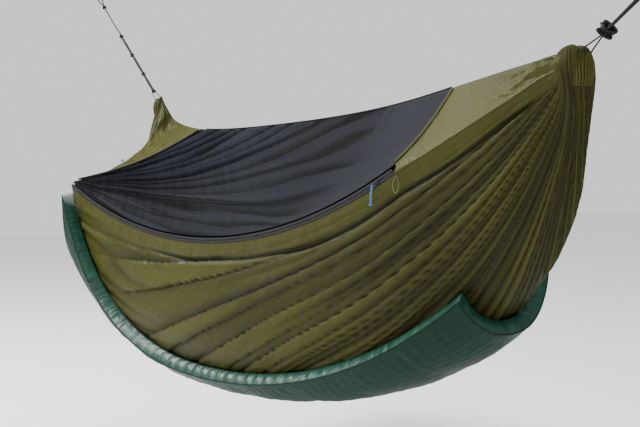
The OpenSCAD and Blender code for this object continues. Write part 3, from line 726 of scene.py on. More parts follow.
def finish(key):
    """Each finish is made once, from the settings' colours."""
    if key not in FINISHES:
        c, t = cloth(), trim()
        make = {
            "bed": lambda: ripstop("Olive ripstop", c.bed_colour),
            # for the panel, gather and shell, the last number is how much lighter the painted highlight makes
            # the crumples' high spots
            "panel": lambda: ripstop("Olive ripstop, crumpled", c.bed_colour, 0.4, 1.7, False, 1.6),
            "gather": lambda: ripstop("Olive ripstop, gathered", c.bed_colour, 0.42, 1.6, True, 1.5),
            "net": lambda: net_cloth("Insect net", c.net_colour),
            "shell": lambda: ripstop("Green shell cloth", c.quilt_colour, 0.4, 1.3, False, 1.5),
            "wall": lambda: puckered("Pale green wall cloth", c.wall_colour),
            "batting": lambda: batting("Filling"),
            "rope": lambda: braided("Black braided rope", t.rope_colour, 0.003),
            "guy": lambda: moulded("Black shock cord", t.rope_colour, 0.6),
            "pull": lambda: braided("Blue braided cord", t.pull_colour, 0.001, 8, (0.25, 0.3, 0.42, 1)),
            "tie": lambda: braided("Olive braided cord", (0.12, 0.115, 0.045, 1), 0.0012),
            "tape": lambda: webbing("Black zip tape", (0.014, 0.014, 0.016, 1)),
            "thread": lambda: webbing("Dark thread", (0.03, 0.03, 0.028, 1), 0.0006),
            "olive_thread": lambda: webbing("Olive thread", tone(c.bed_colour, 1.5), 0.0006),
            "binding": lambda: webbing("Black binding", (0.016, 0.016, 0.019, 1)),
            # painted light: the hem is the bed cloth's olive made 1.25 times lighter, so the rolled seam
            # renders less dark
            "hem": lambda: webbing("Olive hem", tone(c.bed_colour, 1.25), 0.0016),
            "teeth": lambda: moulded("Black nylon teeth", (0.018, 0.018, 0.02, 1), 0.35),
            "dark_metal": lambda: worked_metal("Dark painted zinc", (0.09, 0.09, 0.1, 1), 0.38),
            "alloy": lambda: worked_metal("Tumbled alloy", (0.62, 0.63, 0.66, 1), 0.3),
            "steel": lambda: worked_metal("Drawn steel", (0.5, 0.5, 0.52, 1), 0.34, (1, 8, 1)),
        }[key]
        FINISHES[key] = make()
    return FINISHES[key]


def dress(obj, key, body="hammock"):
    """Gives a piece its finish and the body that it rides on."""
    obj.data.materials.clear()
    obj.data.materials.append(finish(key))
    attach(obj, body)
    return obj


def dress_node(node, key):
    """Gives a piece of the frame a better finish."""
    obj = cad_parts[node]
    for slot in obj.material_slots:
        slot.material = finish(key)


# ---- pieces in rows


def row_tree():
    """Rounded pieces laid end to end along a curve, such as stitches or a zip's teeth."""
    tree = bpy.data.node_groups.new("Pieces along a line", "GeometryNodeTree")
    for name, kind in (("Geometry", "Geometry"), ("Pitch", "Float"), ("Piece size", "Vector"),
                       ("Top", "Vector"), ("Finish", "Material")):
        tree.interface.new_socket(name, in_out="INPUT", socket_type="NodeSocket" + kind)
    tree.interface.new_socket("Geometry", in_out="OUTPUT", socket_type="NodeSocketGeometry")
    given, made, points, to_top, along, ball, put, real, paint = (tree.nodes.new(kind) for kind in (
        "NodeGroupInput", "NodeGroupOutput", "GeometryNodeCurveToPoints", "FunctionNodeAlignRotationToVector",
        "FunctionNodeAlignRotationToVector", "GeometryNodeMeshUVSphere", "GeometryNodeInstanceOnPoints",
        "GeometryNodeRealizeInstances", "GeometryNodeSetMaterial"))
    points.mode = "LENGTH"
    to_top.axis, along.axis, along.pivot_axis = "Z", "X", "Z"
    for name, value in (("Segments", 6), ("Rings", 4), ("Radius", 0.5)):
        ball.inputs[name].default_value = value
    for start, leaves, end, enters in (
            (given, "Geometry", points, "Curve"), (given, "Pitch", points, "Length"),
            (given, "Top", to_top, "Vector"), (to_top, "Rotation", along, "Rotation"),
            (points, "Tangent", along, "Vector"), (points, "Points", put, "Points"),
            (ball, "Mesh", put, "Instance"), (along, "Rotation", put, "Rotation"),
            (given, "Piece size", put, "Scale"), (put, "Instances", real, "Geometry"),
            (real, "Geometry", paint, "Geometry"), (given, "Finish", paint, "Material"),
            (paint, "Geometry", made, "Geometry")):
        tree.links.new(start.outputs[leaves], end.inputs[enters])
    return tree


def row_of_pieces(name, path, pitch, size, top, key):
    """A row of small pieces along a path in the gather-centred axes."""
    tree = bpy.data.node_groups.get("Pieces along a line") or row_tree()
    curve = bpy.data.curves.new(name, "CURVE")
    curve.dimensions = "3D"
    spline = curve.splines.new("POLY")
    points = hung(path)
    spline.points.add(len(points) - 1)
    spline.points.foreach_set("co", np.hstack([points, np.ones((len(points), 1))]).ravel())
    obj = bpy.data.objects.new(name, curve)
    bpy.context.scene.collection.objects.link(obj)
    modifier = obj.modifiers.new("Row", "NODES")
    modifier.node_group = tree
    wanted = {"Pitch": float(pitch), "Piece size": tuple(float(v) for v in size),
              "Top": tuple(float(v) for v in top), "Finish": finish(key)}
    for item in tree.interface.items_tree:
        if item.item_type == "SOCKET" and item.in_out == "INPUT" and item.name in wanted:
            modifier[item.identifier] = wanted[item.name]
    made = apply_modifiers(obj)
    made.data.polygons.foreach_set("use_smooth", [True] * len(made.data.polygons))
    return made


def cover_path(near_x, far_x, q0, q1, lift, sag=PANEL_SAG, count=60):
    q = np.linspace(q0, q1, count)
    return cover_surface((near_x, near_x), (far_x, far_x), np.zeros(count), q, -RIM_DROP, lift, (sag, sag))


# ---- cords

NEAR_STRAND = [(74, 9, 5), (100, 8, 4), (130, 5.5, 2), (160, 3.2, 0), (200, 3.2, 0), (230, 6, 0)]
FAR_STRAND = [(70, 4, 0), (130, 3.6, 0), (220, 0.4, 3.4), (300, 3.8, 0), (400, 0.4, 3.4),
              (500, 3.8, 0), (590, 2, 2), (700, 0, 0), (800, 0, 0), (870, 0, 0), (920, 1, 0), (950, 6, 0)]
FAR_TAIL = [(950, -6, 0), (926, -5, 4), (905, -4, 6)]
FAR_RETURN = [(70, -4, 0), (130, -3.6, 0), (220, -0.4, -3.4), (300, -3.8, 0),
              (400, -0.4, -3.4), (500, -3.8, 0), (586, -4, -1)]
FAR_KNOTS = (62, 220, 400, 590, 910)
CHANNEL_CORD = [(60, 4, 2), (44, 8, 3), (24, 12, 2), (4, 14, 0), (-12, 12.5, -5), (-20.8, 8.8, -7.7),
                (-24.5, 0, -9), (-20.8, -8.8, -7.7), (-12, -12.5, -5), (4, -14, 0), (24, -12, -2),
                (44, -8, -3), (60, -4, -2)]
PULL_CORD = [(46, -1.6, 5.2), (36, -2.3, 5.1), (26, -2.5, 4.4), (18, -2.2, 2.2), (12, -1.4, -0.8),
             (7.6, -0.8, -3.3), (4, -0.3, -4), (1.17, -0.1, -2.83), (0, 0, 0), (1.17, 0.1, 2.83),
             (4, 0.5, 4), (9, 1.4, 4.8), (16, 2.2, 5), (26, 2.6, 5.1), (36, 2.3, 5.2), (46, 1.6, 5.2)]
TIE_CORD = [(14, 3.6, -10), (8, 4, -21), (5, 4, -34), (7, 4.4, -46), (15, 4.6, -54), (23, 4.4, -46),
            (25, 4, -34), (22, 4, -21), (18, 3.6, -10)]


def beside(start, way, up, points):
    p = np.asarray(points, float) / 1000
    return start + p[:, :1] * way + p[:, 1:2] * np.array([0, 1.0, 0]) + p[:, 2:3] * up


def eye_arc(reach):
    """Half of the eye round the carabiner's rod."""
    a = np.radians(np.arange(90, -91, -22.5))
    return [(reach + 7.3 - 12 + 12 * math.cos(k), 12 * math.sin(k), 0) for k in a]


def cord_object(name, path, r, sides, key, node, body="hammock"):
    """A cord along a path, in place of the frame's piece, which it hides."""
    obj = dress(tube_object(name, path, r, sides), key, body)
    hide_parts(node)
    2 * r


def overhand(length, width, r, seed=0):
    """A knot round the x axis: a strand that wraps, crosses itself and goes on."""
    a = np.linspace(0, 2 * np.pi, 72, endpoint=False)
    x = np.cos(a) * 0.55 + np.cos(2 * a) * 0.35
    y = np.sin(a) * 0.62 - np.sin(2 * a) * 0.38
    z = np.sin(3 * a + 0.3) * 0.5
    p = np.stack([x, y, z], 1)
    p /= np.abs(p).max(0)
    span = np.array([length / 2 - r, width - r, width - r])
    turn = 0.7 * seed
    q = p * span
    y2 = q[:, 1] * math.cos(turn) - q[:, 2] * math.sin(turn)
    z2 = q[:, 1] * math.sin(turn) + q[:, 2] * math.cos(turn)
    return np.stack([q[:, 0], y2, z2], 1)


def knot_object(name, centre, way, up, length, width, r, seed=0, wraps=0):
    side = np.cross(up, way)
    p = overhand(length, width, r, seed=seed)
    path = centre + p[:, :1] * way + p[:, 1:2] * side + p[:, 2:3] * up
    parts = [tube_object(name + "_a", path, r, 12, closed=True)]
    for k in range(wraps):
        a = np.linspace(0, 2 * np.pi, 40, endpoint=False)
        place = (k - (wraps - 1) / 2) * 1.7 * r
        ring = (centre + way * place + side * (np.cos(a) * width * 0.62)[:, None]
                + up * (np.sin(a) * width * 0.62)[:, None] + way * (np.sin(a + k) * r * 0.6)[:, None])
        parts.append(tube_object(f"{name}_{k}b", ring, r * 0.95, 12, closed=True))
    return join_meshes(name, parts)


class HAMMOCK_OT_suspension(bpy.types.Operator):
    """Ropes, eyes and channel cords that hold the hammock up"""
    bl_idname = "hammock.suspension"
    bl_label = "Suspension ropes"

    def execute(self, context):
        near_route = NEAR_STRAND + eye_arc(NEAR_ROPE) + [(x, -y, -z) for x, y, z in NEAR_STRAND[::-1]]
        far_route = FAR_STRAND + eye_arc(FAR_ROPE) + FAR_TAIL
        near, far = (NEAR_GATHER, NEAR_WAY, NEAR_UP), (FAR_GATHER, FAR_WAY, FAR_UP)
        for name, end, route, rings, r, node in (
                ("near_suspension_rope", near, near_route, 6, ROPE_R, "near_rope"),
                ("far_suspension_rope", far, far_route, 7, ROPE_R, "far_rope"),
                ("far_doubled_strand", far, FAR_RETURN, 8, ROPE_R, "far_rope_return"),
                ("near_gathering_cord", near, CHANNEL_CORD, 6, CORD_R, "near_channel_cord"),
                ("far_gathering_cord", far, CHANNEL_CORD, 6, CORD_R, "far_channel_cord")):
            cord_object(name, curve_through(beside(*end, route), rings), r, 14, "rope", node)
        return {"FINISHED"}


class HAMMOCK_OT_knots(bpy.types.Operator):
    """Knots in the suspension ropes"""
    bl_idname = "hammock.knots"
    bl_label = "Knots"

    def execute(self, context):
        centre = NEAR_GATHER + NEAR_WAY * 0.066
        near = knot_object("near_knot_wraps", centre, NEAR_WAY, NEAR_UP, 0.036, 0.020, 0.0036, 1, 3)
        dress(near, "rope")
        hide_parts("near_knot")
        parts = []
        for k, at in enumerate(FAR_KNOTS):
            centre = FAR_GATHER + FAR_WAY * at / 1000
            parts.append(knot_object(f"far_knot_{k}", centre, FAR_WAY, FAR_UP, 0.021, 0.0095, 0.0028, k))
        far = dress(join_meshes("far_rope_knots", parts), "rope")
        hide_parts("far_knots")
        return {"FINISHED"}


class HAMMOCK_OT_small_cords(bpy.types.Operator):
    """The zip's pull cord, the tie-back cord and the guy loops"""
    bl_idname = "hammock.small_cords"
    bl_label = "Small cords"

    def execute(self, context):
        knot = knot_object("zip_pull_cord_knot", PULL_EYE - 0.050 * UP + OUT * 0.0054,
                           UP, OUT, 0.012, 0.0042, 0.0010, 0)
        dress(knot, "pull", "pull_cord")
        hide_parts("zip_pull_knot")
        p = np.array(PULL_CORD) / 1000
        path = PULL_EYE - p[:, :1] * UP + p[:, 1:2] * ALONG + p[:, 2:3] * OUT
        cord_object("zip_pull_loop", curve_through(path, 6), PULL_R, 12, "pull", "zip_pull_cord",
                    "pull_cord")
        p = np.array(TIE_CORD) / 1000
        path = zip_point(ZIP_NEAR) + p[:, :1] * ALONG + p[:, 1:2] * OUT + p[:, 2:3] * UP
        cord_object("tie_back_loop", curve_through(path, 6), TIE_R, 10, "tie", "tie_back_cord")
        dress_node("guy_loops", "guy")
        return {"FINISHED"}


# ---- bed and covers


class HAMMOCK_OT_bed(bpy.types.Operator):
    """The bed, with the folds that run out of its gathers"""
    bl_idname = "hammock.bed"
    bl_label = "Bed"

    def execute(self, context):
        rows, cols = 420, 230
        t = -np.cos(np.linspace(0, np.pi, rows)) * CROWN_END
        x = (t * HALF)[:, None]
        w = np.linspace(-1, 1, cols)
        w = (np.sign(w) * (1 - (1 - np.abs(w)) ** 1.12))[None, :]
        # the second value is the painted-shade mask of the folds, not a height
        relief, height = bed_relief(x + 0 * w, w + 0 * x)
        even = crown_blend(bed_point(x, w), (x / HALF), w)
        pleat, _ = ridges((w + 1) * 17 + 0.4 * soft_wave(w * 6, 51), 52, 0.6)
        # near the ends the pleats take over the relief and their valleys get painted shade
        for side, start, deep in ((1, 0.945, 0.006), (-1, 0.91, 0.009)):
            k = ease((side * x / HALF - start) / 0.025)
            close = 1 - 0.8 * ease((side * x / HALF - 0.97) / 0.015)
            relief = mix(relief, deep * (pleat - 0.6) * close, k)
            height = mix(height, pleat * (0.8 if side > 0 else 0.4) + (0.2 if side > 0 else 0.6), k)
        points = even + grid_normals(even) * relief[..., None]
        uv = pair(x * 1.19 + 2, (w + 1) * 0.865)
        # the painted shade goes into the bed's 'fold' attribute
        shade = np.clip(height, 0, 1)
        obj = dress(sheet_object("bed_cloth", points, uv, shade, thick=0.0), "bed")
        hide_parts("bed")
        return {"FINISHED"}


class HAMMOCK_OT_gathers(bpy.types.Operator):
    """The gathered hems at both ends"""
    bl_idname = "hammock.gathers"
    bl_label = "Gathered hems"

    def execute(self, context):
        for name, side, gather, pleats, node in (("near_gathered_hem", 1, NEAR_GATHER, 21, "near_channel"),
                                                 ("far_gathered_hem", -1, FAR_GATHER, 17, "far_channel")):
            rows, cols = 46, 190
            a = np.linspace(0, 2 * np.pi, cols, endpoint=False)[None, :]
            v = np.linspace(0, 1, rows)[:, None]
            # from the open foot over the crown to the tight middle
            radius = 0.024 * (1 - v ** 3.4) ** 0.5 * (0.80 + 0.24 * np.sin(np.pi * v)) + 0.0012
            z = -0.080 + 0.080 * v ** 0.9
            fold = np.abs(np.sin(pleats / 2 * a + 0.8 * soft_wave(v * 5, 61))) ** 0.6
            radius = radius * (0.86 + 0.15 * fold + 0.03 * soft_wave(a * 3 + v * 7, 62))
            centre = gather + np.array([-side * 0.0182, 0, 0])
            lean = side * 0.006 * v
            points = stack(centre[0] + radius * np.cos(a) + lean, centre[1] + radius * np.sin(a),
                           centre[2] + z + 0 * a)
            uv = pair(a * 0.03, v * 0.09)
            faces = [list(f) for f in grid_faces(rows, cols, False, False, True)]
            faces.append([(rows - 1) * cols + k for k in range(cols)])
            faces.append([cols - 1 - k for k in range(cols)])
            # fold, the pleats' depth, is also stored as the painted shade of the pleat valleys
            obj = mesh_object(name, hung(points).reshape(-1, 3), faces, uv.reshape(-1, 2),
                              np.broadcast_to(fold, (rows, cols)).ravel())
            dress(obj, "gather")
            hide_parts(node)
        return {"FINISHED"}


def crumple(s, q, seed, size=0.004, fine=26):
    small = soft_wave(s * fine + q * fine * 0.6, seed, 4) * soft_wave(q * fine * 0.7 - s * 9, seed + 1, 3)
    return size * (small + 0.5 * soft_wave(q * 17 + s * 23, seed + 2, 4))


class HAMMOCK_OT_end_panels(bpy.types.Operator):
    """The two panels of bed cloth that close the ends of the top"""
    bl_idname = "hammock.end_panels"
    bl_label = "End panels"

    def execute(self, context):
        for name, near_x, far_x, node, flip in (
                ("near_end_panel", (SEAM_NEAR[0] + 0.0005, PANEL_END), (SEAM_NEAR[1] + 0.0005, PANEL_END),
                 "near_top_panel", False),
                ("far_end_panel", (-PANEL_END, SEAM_FAR[0] - 0.0005), (-PANEL_END, SEAM_FAR[1] - 0.0005),
                 "far_top_panel", True)):
            s, q = share_grid(150, 90)
            # at the seam the panel meets the net, and beyond it the panel lies on the rim
            at_seam = ease((0.22 - (1 - s if flip else s)) / 0.22) * ease(q / 0.04)
            even = mix(cover_surface(near_x, far_x, s, q, RIM_DROP, PANEL_LIFT, (PANEL_SAG, PANEL_SAG)),
                       cover_surface(near_x, far_x, s, q, -RIM_DROP, PANEL_LIFT, (PANEL_SAG, PANEL_SAG)),
                       at_seam[..., None])
            even[..., 2] -= PANEL_LIFT * ease((0.02 - q) / 0.02)
            even += OUT * (0.0012 * ease((0.03 - q) / 0.03))[..., None]
            even = crown_blend(even, even[..., 0] / HALF, 2 * q - 1, True)
            to_gather = 1 - s if flip else s
            edge = ease(np.minimum(q, 1 - q) / 0.04) * ease(np.minimum(s, 1 - s) / 0.03)
            rays, _ = ridges(q * 7 + 0.5 * soft_wave(q * 5 + s * 4, 71), 72, 0.7)
            relief = 0.007 * (rays - 0.5) * ease((to_gather - 0.35) / 0.5) * (1.08 - to_gather)
            relief = relief + crumple(s * 1.6, q, 73 if flip else 83, 0.0022, 24)
            # the cloth bunches up over the gather
            crown = 0.020 * np.exp(-((to_gather - 0.80) / 0.10) ** 2) * np.sin(np.pi * q)
            relief = relief + 0.006 * soft_wave(q * 8 + to_gather * 5, 76, 3) * ease((to_gather - 0.3) / 0.4)
            points = even + grid_normals(even, True) * ((relief * edge) + crown)[..., None]
            width = np.linalg.norm(even[:, -1] - even[:, 0], axis=-1)[:, None]
            uv = pair(s * 0.55, (q - 0.5) * width)
            obj = dress(sheet_object(name, points, uv, None, True), "panel")
            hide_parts(node)
            measured = float(0.5 * np.linalg.norm(even[0, -1] - even[0, 0]) *
                             np.linalg.norm((even[-1, 0] + even[-1, -1] - even[0, 0] - even[0, -1]) / 2))
            length = float(np.linalg.norm((even[-1, 0] + even[-1, -1] - even[0, 0] - even[0, -1]) / 2))
        return {"FINISHED"}


class HAMMOCK_OT_net(bpy.types.Operator):
    """The insect net between the zip and the far edge"""
    bl_idname = "hammock.net"
    bl_label = "Insect net"

    def execute(self, context):
        s, q = share_grid(300, 150)
        even = cover_surface((SEAM_FAR[0], SEAM_NEAR[0]), (SEAM_FAR[1], SEAM_NEAR[1]), s, q,
                             -RIM_DROP, NET_LIFT, (PANEL_SAG, NET_SAG))
        # folds sweep from the far edge down to the far corner of the zip and along it
        along, across = s * 1.75, q * 0.62
        reach = np.hypot(along + 0.02, across)
        bearing = np.arctan2(across, along + 0.02)
        u = bearing * 9 + 2.4 * reach + 0.4 * soft_wave(reach * 3 + bearing * 5, 91)
        rise, k = ridges(u, 92, 0.75)
        strength = valley_noise(93, 400, 0.35, 1.0)[k] * ease(reach / 0.22) * ease((1.5 - reach) / 0.6)
        edge = ease(q / 0.05) * ease((1 - q) / 0.04) * ease(s / 0.02) * ease((1 - s) / 0.04)
        cross, k2 = ridges(s * 21 + q * 4 + 0.6 * soft_wave(s * 9 - q * 5, 94), 95, 0.8)
        cross = cross * valley_noise(96, 400, -1.2, 1.0)[k2].clip(0, 1)
        cross_on = ease((q - 0.35) / 0.5) * ease((s - 0.25) / 0.2) * ease((0.85 - s) / 0.2)
        depth = cloth().net_folds
        relief = depth * ((rise - 0.5) * strength * 1.3 + 0.55 * (cross - 0.3) * cross_on)
        relief = relief + 0.0012 * soft_wave(s * 40 + q * 22, 97, 4)
        points = even + grid_normals(even, True) * (relief * edge)[..., None]
        # painted shade, stored as the net's 'fold' attribute: dark in the valleys of both sets of folds, and
        # over the far corner by the zip except on its fold ridges
        corner = ease((0.45 - s) / 0.4) * ease((0.75 - q) / 0.6) * (1 - 0.6 * ease((rise - 0.55) / 0.3))
        dark = np.clip((0.6 - rise) * 3.0, 0, 1) * np.clip(strength * 2.2, 0, 1) + 0.75 * corner
        dark = dark + np.clip((0.35 - cross) * 1.8, 0, 1) * cross_on * 0.45
        width = np.linalg.norm(even[:, -1] - even[:, 0], axis=-1)[:, None]
        uv = pair(s * 1.75, q * width)
        obj = dress(sheet_object("insect_net_cloth", points, uv, np.clip(dark, 0, 0.95), True, 0.0), "net")
        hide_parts("insect_net")
        return {"FINISHED"}


class HAMMOCK_OT_seams(bpy.types.Operator):
    """Rolled hems, bindings and their stitching"""
    bl_idname = "hammock.seams"
    bl_label = "Seams and bindings"

    def execute(self, context):
        pitch = trim().stitch_pitch
        for name, seam, key, node, thread in (
                ("near_seam_roll", SEAM_NEAR, "hem", "near_net_seam", "olive_thread"),
                ("far_seam_roll", SEAM_FAR, "binding", "far_net_seam", "thread")):
            path = cover_path(seam[0], seam[1], 0.03, 0.97, SEAM_LIFT)
            wave = 0.0012 * soft_wave(np.linspace(0, 26, len(path)), 101)
            path[:, 0] += wave
            obj = dress(tube_object(name, path, SEAM_R, 14), key)
            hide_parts(node)
            up = path + np.array([0, 0, 0.0034])
            row = row_of_pieces(name + "_stitches", up, pitch, (pitch * 0.7, 0.0009, 0.0009),
                                (0, 0, 1), thread)
            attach(row, "hammock")
        x = np.linspace(NET_FAR + 0.024, NET_NEAR - 0.024, 160)
        path = far_edge(x) + np.array([0, 0, 0.0066])
        obj = dress(tube_object("far_edge_tape", path, 0.0025, 12), "binding")
        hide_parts("far_edge_binding")
        row = row_of_pieces("far_edge_stitches", path + np.array([0, -0.0018, 0.0017]), pitch,
                            (pitch * 0.7, 0.0009, 0.0009), (0, 0, 1), "thread")
        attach(row, "hammock")
        return {"FINISHED"}


# ---- zip


def arc_path(radius, out=0.0, trim_angle=0.0, count=260):
    a = np.linspace(ZIP_FAR + trim_angle, ZIP_NEAR - trim_angle, count)
    return zip_point(a, radius) + OUT * out


class HAMMOCK_OT_zip(bpy.types.Operator):
    """The zip's tapes, teeth, stops, slider and pull tab"""
    bl_idname = "hammock.zip"
    bl_label = "Zip"

    def execute(self, context):
        t = trim()
        for name, sign, tape_node, coil_node in (("bed", 1, "zip_tape_bed", "zip_coil_bed"),
                                                 ("net", -1, "zip_tape_net", "zip_coil_net")):
            count, steps = 260, 7
            a = np.linspace(ZIP_FAR, ZIP_NEAR, count)[:, None]
            near, far = 0.0018, 0.0080
            r = ZIP_R + sign * np.linspace(near, far, steps)[None, :]
            points = zip_point(a + 0 * r, r + 0 * a)
            points = np.concatenate([points + OUT * 0.0003, points[:, ::-1] - OUT * 0.0003], axis=1)
            uv = pair(a * ZIP_R, np.arange(2 * steps)[None, :] * 0.001)
            faces = [list(f) for f in grid_faces(count, 2 * steps, sign < 0, False, True)]
            ends = [list(range(2 * steps)), [(count - 1) * 2 * steps + k for k in range(2 * steps)][::-1]]
            faces += ends if sign > 0 else [e[::-1] for e in ends]
            tape = dress(mesh_object(f"zip_tape_{name}_side", hung(points).reshape(-1, 3), faces,
                                     uv.reshape(-1, 2)), "tape")
            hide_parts(tape_node)
            path = arc_path(ZIP_R + sign * 0.00115, 0.0, 0.0003)
            teeth = row_of_pieces(f"zip_teeth_{name}_side", path, t.tooth_pitch,
                                  (t.tooth_pitch * 0.72, 0.0013, 0.0020), OUT, "teeth")
            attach(teeth, "hammock")
            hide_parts(coil_node)
            line = row_of_pieces(f"zip_stitches_{name}_side", arc_path(ZIP_R + sign * 0.0056, 0.0004, 0.002),
                                 t.stitch_pitch * 0.7, (t.stitch_pitch * 0.5, 0.0007, 0.0007), OUT, "thread")
            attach(line, "hammock")
        dress_node("zip_end_stops", "teeth")
        dress_node("zip_slider", "dark_metal")
        dress_node("zip_pull_tab", "dark_metal")
        return {"FINISHED"}


# ---- underquilt


def side_border(x, corner):
    return 1 - (1 - 0.54 - 0.453 * np.clip(x / corner, 0, 1) ** 3) ** 0.73


def quilt_place(p, q):
    x = mix(QUILT_FAR, QUILT_NEAR, p)
    low, high = -side_border(-x, -QUILT_FAR), side_border(x, QUILT_NEAR)
    return x, mix(low, high, q)


def quilt_loft(x, w):
    return 0.05 * (1 - 0.1 * ease((x - QUILT_NEAR + 0.4) / 0.4) * ease((w + 0.35) / 0.6))


def quilt_surface(p, q, off):
    """The underquilt: a positive offset is from the bed, and a negative one from its outside."""
    x, w = quilt_place(p, q)
    off = np.asarray(off, float)
    return bed_point(x, w, np.where(off < 0, quilt_loft(x, w), 0) + off)


def quilt_border(count_long=420, count_short=200):
    """Places round the underquilt's border, in order."""
    a = np.arange(count_long) / count_long
    b = np.arange(count_short) / count_short
    p = np.concatenate([a, np.ones(count_short), 1 - a, np.zeros(count_short)])
    q = np.concatenate([np.zeros(count_long), b, np.ones(count_long), 1 - b])
    return p, q


class HAMMOCK_OT_underquilt(bpy.types.Operator):
    """The underquilt: shell, puckered wall, filling and elastic"""
    bl_idname = "hammock.underquilt"
    bl_label = "Underquilt"

    def execute(self, context):
        p, q = share_grid(300, 160)
        even = quilt_surface(p, q, -0.0005)
        edge = ease(np.minimum(np.minimum(p * 2.0, (1 - p) * 2.0), np.minimum(q, 1 - q)) / 0.06)
        channel = np.abs(np.sin(np.pi * p * 9)) ** 0.55
        puff = cloth().quilt_puff * (channel - 0.75) * edge
        gather, _ = ridges(p * 60 + 0.8 * soft_wave(q * 6 + p * 8, 111), 112, 0.8)
        near_side = ease((0.22 - q) / 0.2) + ease((q - 0.78) / 0.2)
        puff = puff + 0.0035 * (gather - 0.5) * near_side * edge + 0.0012 * soft_wave(p * 70 + q * 40, 113, 4)
        drawn, _ = ridges(q * 34 + 0.5 * soft_wave(p * 9, 114), 115, 0.8)
        near_end = ease((p - 0.86) / 0.12) + ease((0.1 - p) / 0.1)
        puff = puff + 0.003 * (drawn - 0.5) * near_end * edge
        points = even + grid_normals(even) * puff[..., None]
        uv = pair(p * 1.75, q * 0.95)
        fold = np.clip(channel * (1 - 0.4 * near_side * (1 - gather)), 0, 1)
        shell = dress(sheet_object("underquilt_shell_cloth", points, uv, fold, False, 0.0012), "shell")
        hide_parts("underquilt_shell")

        # the wall is drawn up by the elastic in its hem
        p1, q1 = quilt_border()
        heights = np.linspace(0, 1, 15)[None, :]
        x, w = quilt_place(p1, q1)
        loft = quilt_loft(x, w)[:, None]
        off = mix(0.005, loft - 0.0012, heights)
        step = np.arange(len(p1))[:, None]
        pucker = np.sin(step * 0.62 + 1.5 * soft_wave(step * 0.02, 121)) * np.sin(np.pi * heights ** 0.7)
        swell = np.sin(np.pi * heights)
        base = bed_point(x[:, None] + 0 * heights, w[:, None] + 0 * heights, off)
        p0, q0 = 0.5 + (p1 - 0.5) * 0.99, 0.5 + (q1 - 0.5) * 0.985
        xi, wi = quilt_place(p0, q0)
        inner = bed_point(xi[:, None] + 0 * heights, wi[:, None] + 0 * heights, off)
        outward = unit(base - inner)
        points = base + outward * (0.0018 * pucker + 0.004 * swell)[..., None]
        back = base - outward * 0.004 + outward * (0.0016 * pucker)[..., None]
        ring = np.concatenate([points, back[:, ::-1]], axis=1)
        n, m = ring.shape[:2]
        length = np.concatenate([[0], np.cumsum(np.linalg.norm(np.diff(base[:, 0], axis=0), axis=1))])
        uv = pair(length[:, None], np.arange(m)[None, :] * 0.0035)
        wall = mesh_object("underquilt_wall_cloth", hung(ring).reshape(-1, 3),
                           grid_faces(n, m, False, True, True), uv.reshape(-1, 2))
        dress(wall, "wall")
        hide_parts("underquilt_wall")

        # filling, between the bed and the shell
        rows, cols = 90, 54
        p, q = share_grid(rows, cols, 0.012)
        x, w = quilt_place(p, q)
        top = bed_point(x, w, 0.006 + 0 * x)
        loft = quilt_loft(x, w) - 0.004 + 0.006 * (np.abs(np.sin(np.pi * p * 9)) ** 0.55 - 1) * 0.8
        under = bed_point(x, w, loft)
        both = np.concatenate([under.reshape(-1, 3), top.reshape(-1, 3)])
        size = rows * cols
        faces = [list(f) for f in grid_faces(rows, cols)]
        faces += [list(f) for f in (grid_faces(rows, cols, True) + size)]
        rim = ([i * cols for i in range(rows)] + [(rows - 1) * cols + j for j in range(1, cols)]
               + [i * cols + cols - 1 for i in range(rows - 2, -1, -1)] + [j for j in range(cols - 2, 0, -1)])
        for a, b in zip(rim, rim[1:] + rim[:1]):
            faces.append([a, b, b + size, a + size][::-1])
        uv = np.zeros((2 * size, 2))
        filling = dress(mesh_object("underquilt_batting", hung(both), faces, uv), "batting")
        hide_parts("underquilt_fill")

        # elastic in the hem
        p2, q2 = 0.5 + (p1 - 0.5) * 0.974, 0.5 + (q1 - 0.5) * 0.974
        x, w = quilt_place(p2, q2)
        path = bed_point(x, w, 0.0031 + 0 * x)
        elastic = dress(tube_object("underquilt_elastic_cord", path[::3], 0.0014, 8, closed=True), "guy")
        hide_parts("underquilt_elastic")
        # piping where the wall meets the shell
        pipe_path = bed_point(*quilt_place(p1, q1), quilt_loft(*quilt_place(p1, q1)) - 0.0006)
        dress(tube_object("underquilt_piping", pipe_path[::2], 0.0016, 8, closed=True), "shell")
        return {"FINISHED"}


# ---- hardware and stage


class HAMMOCK_OT_hardware(bpy.types.Operator):
    """The two carabiners, with their gates, pins and springs"""
    bl_idname = "hammock.hardware"
    bl_label = "Carabiners"

    def execute(self, context):
        for side in ("near", "far"):
            dress_node(f"{side}_carabiner", "alloy")
            dress_node(f"{side}_gate", "alloy")
            dress_node(f"{side}_gate_pin", "steel")
            dress_node(f"{side}_gate_spring", "steel")
        return {"FINISHED"}


def area_light(name, where, to, size, power, colour=(1, 1, 1)):
    light = bpy.data.lights.new(name, "AREA")
    light.shape = "RECTANGLE"
    light.size, light.size_y = size
    light.energy = power
    light.color = colour
    obj = bpy.data.objects.new(name, light)
    bpy.context.scene.collection.objects.link(obj)
    obj.location = where
    obj.rotation_euler = direction(np.asarray(to, float) - np.asarray(where, float))
    return obj


def direction(v):
    return Vector(v).to_track_quat("-Z", "Y").to_euler()


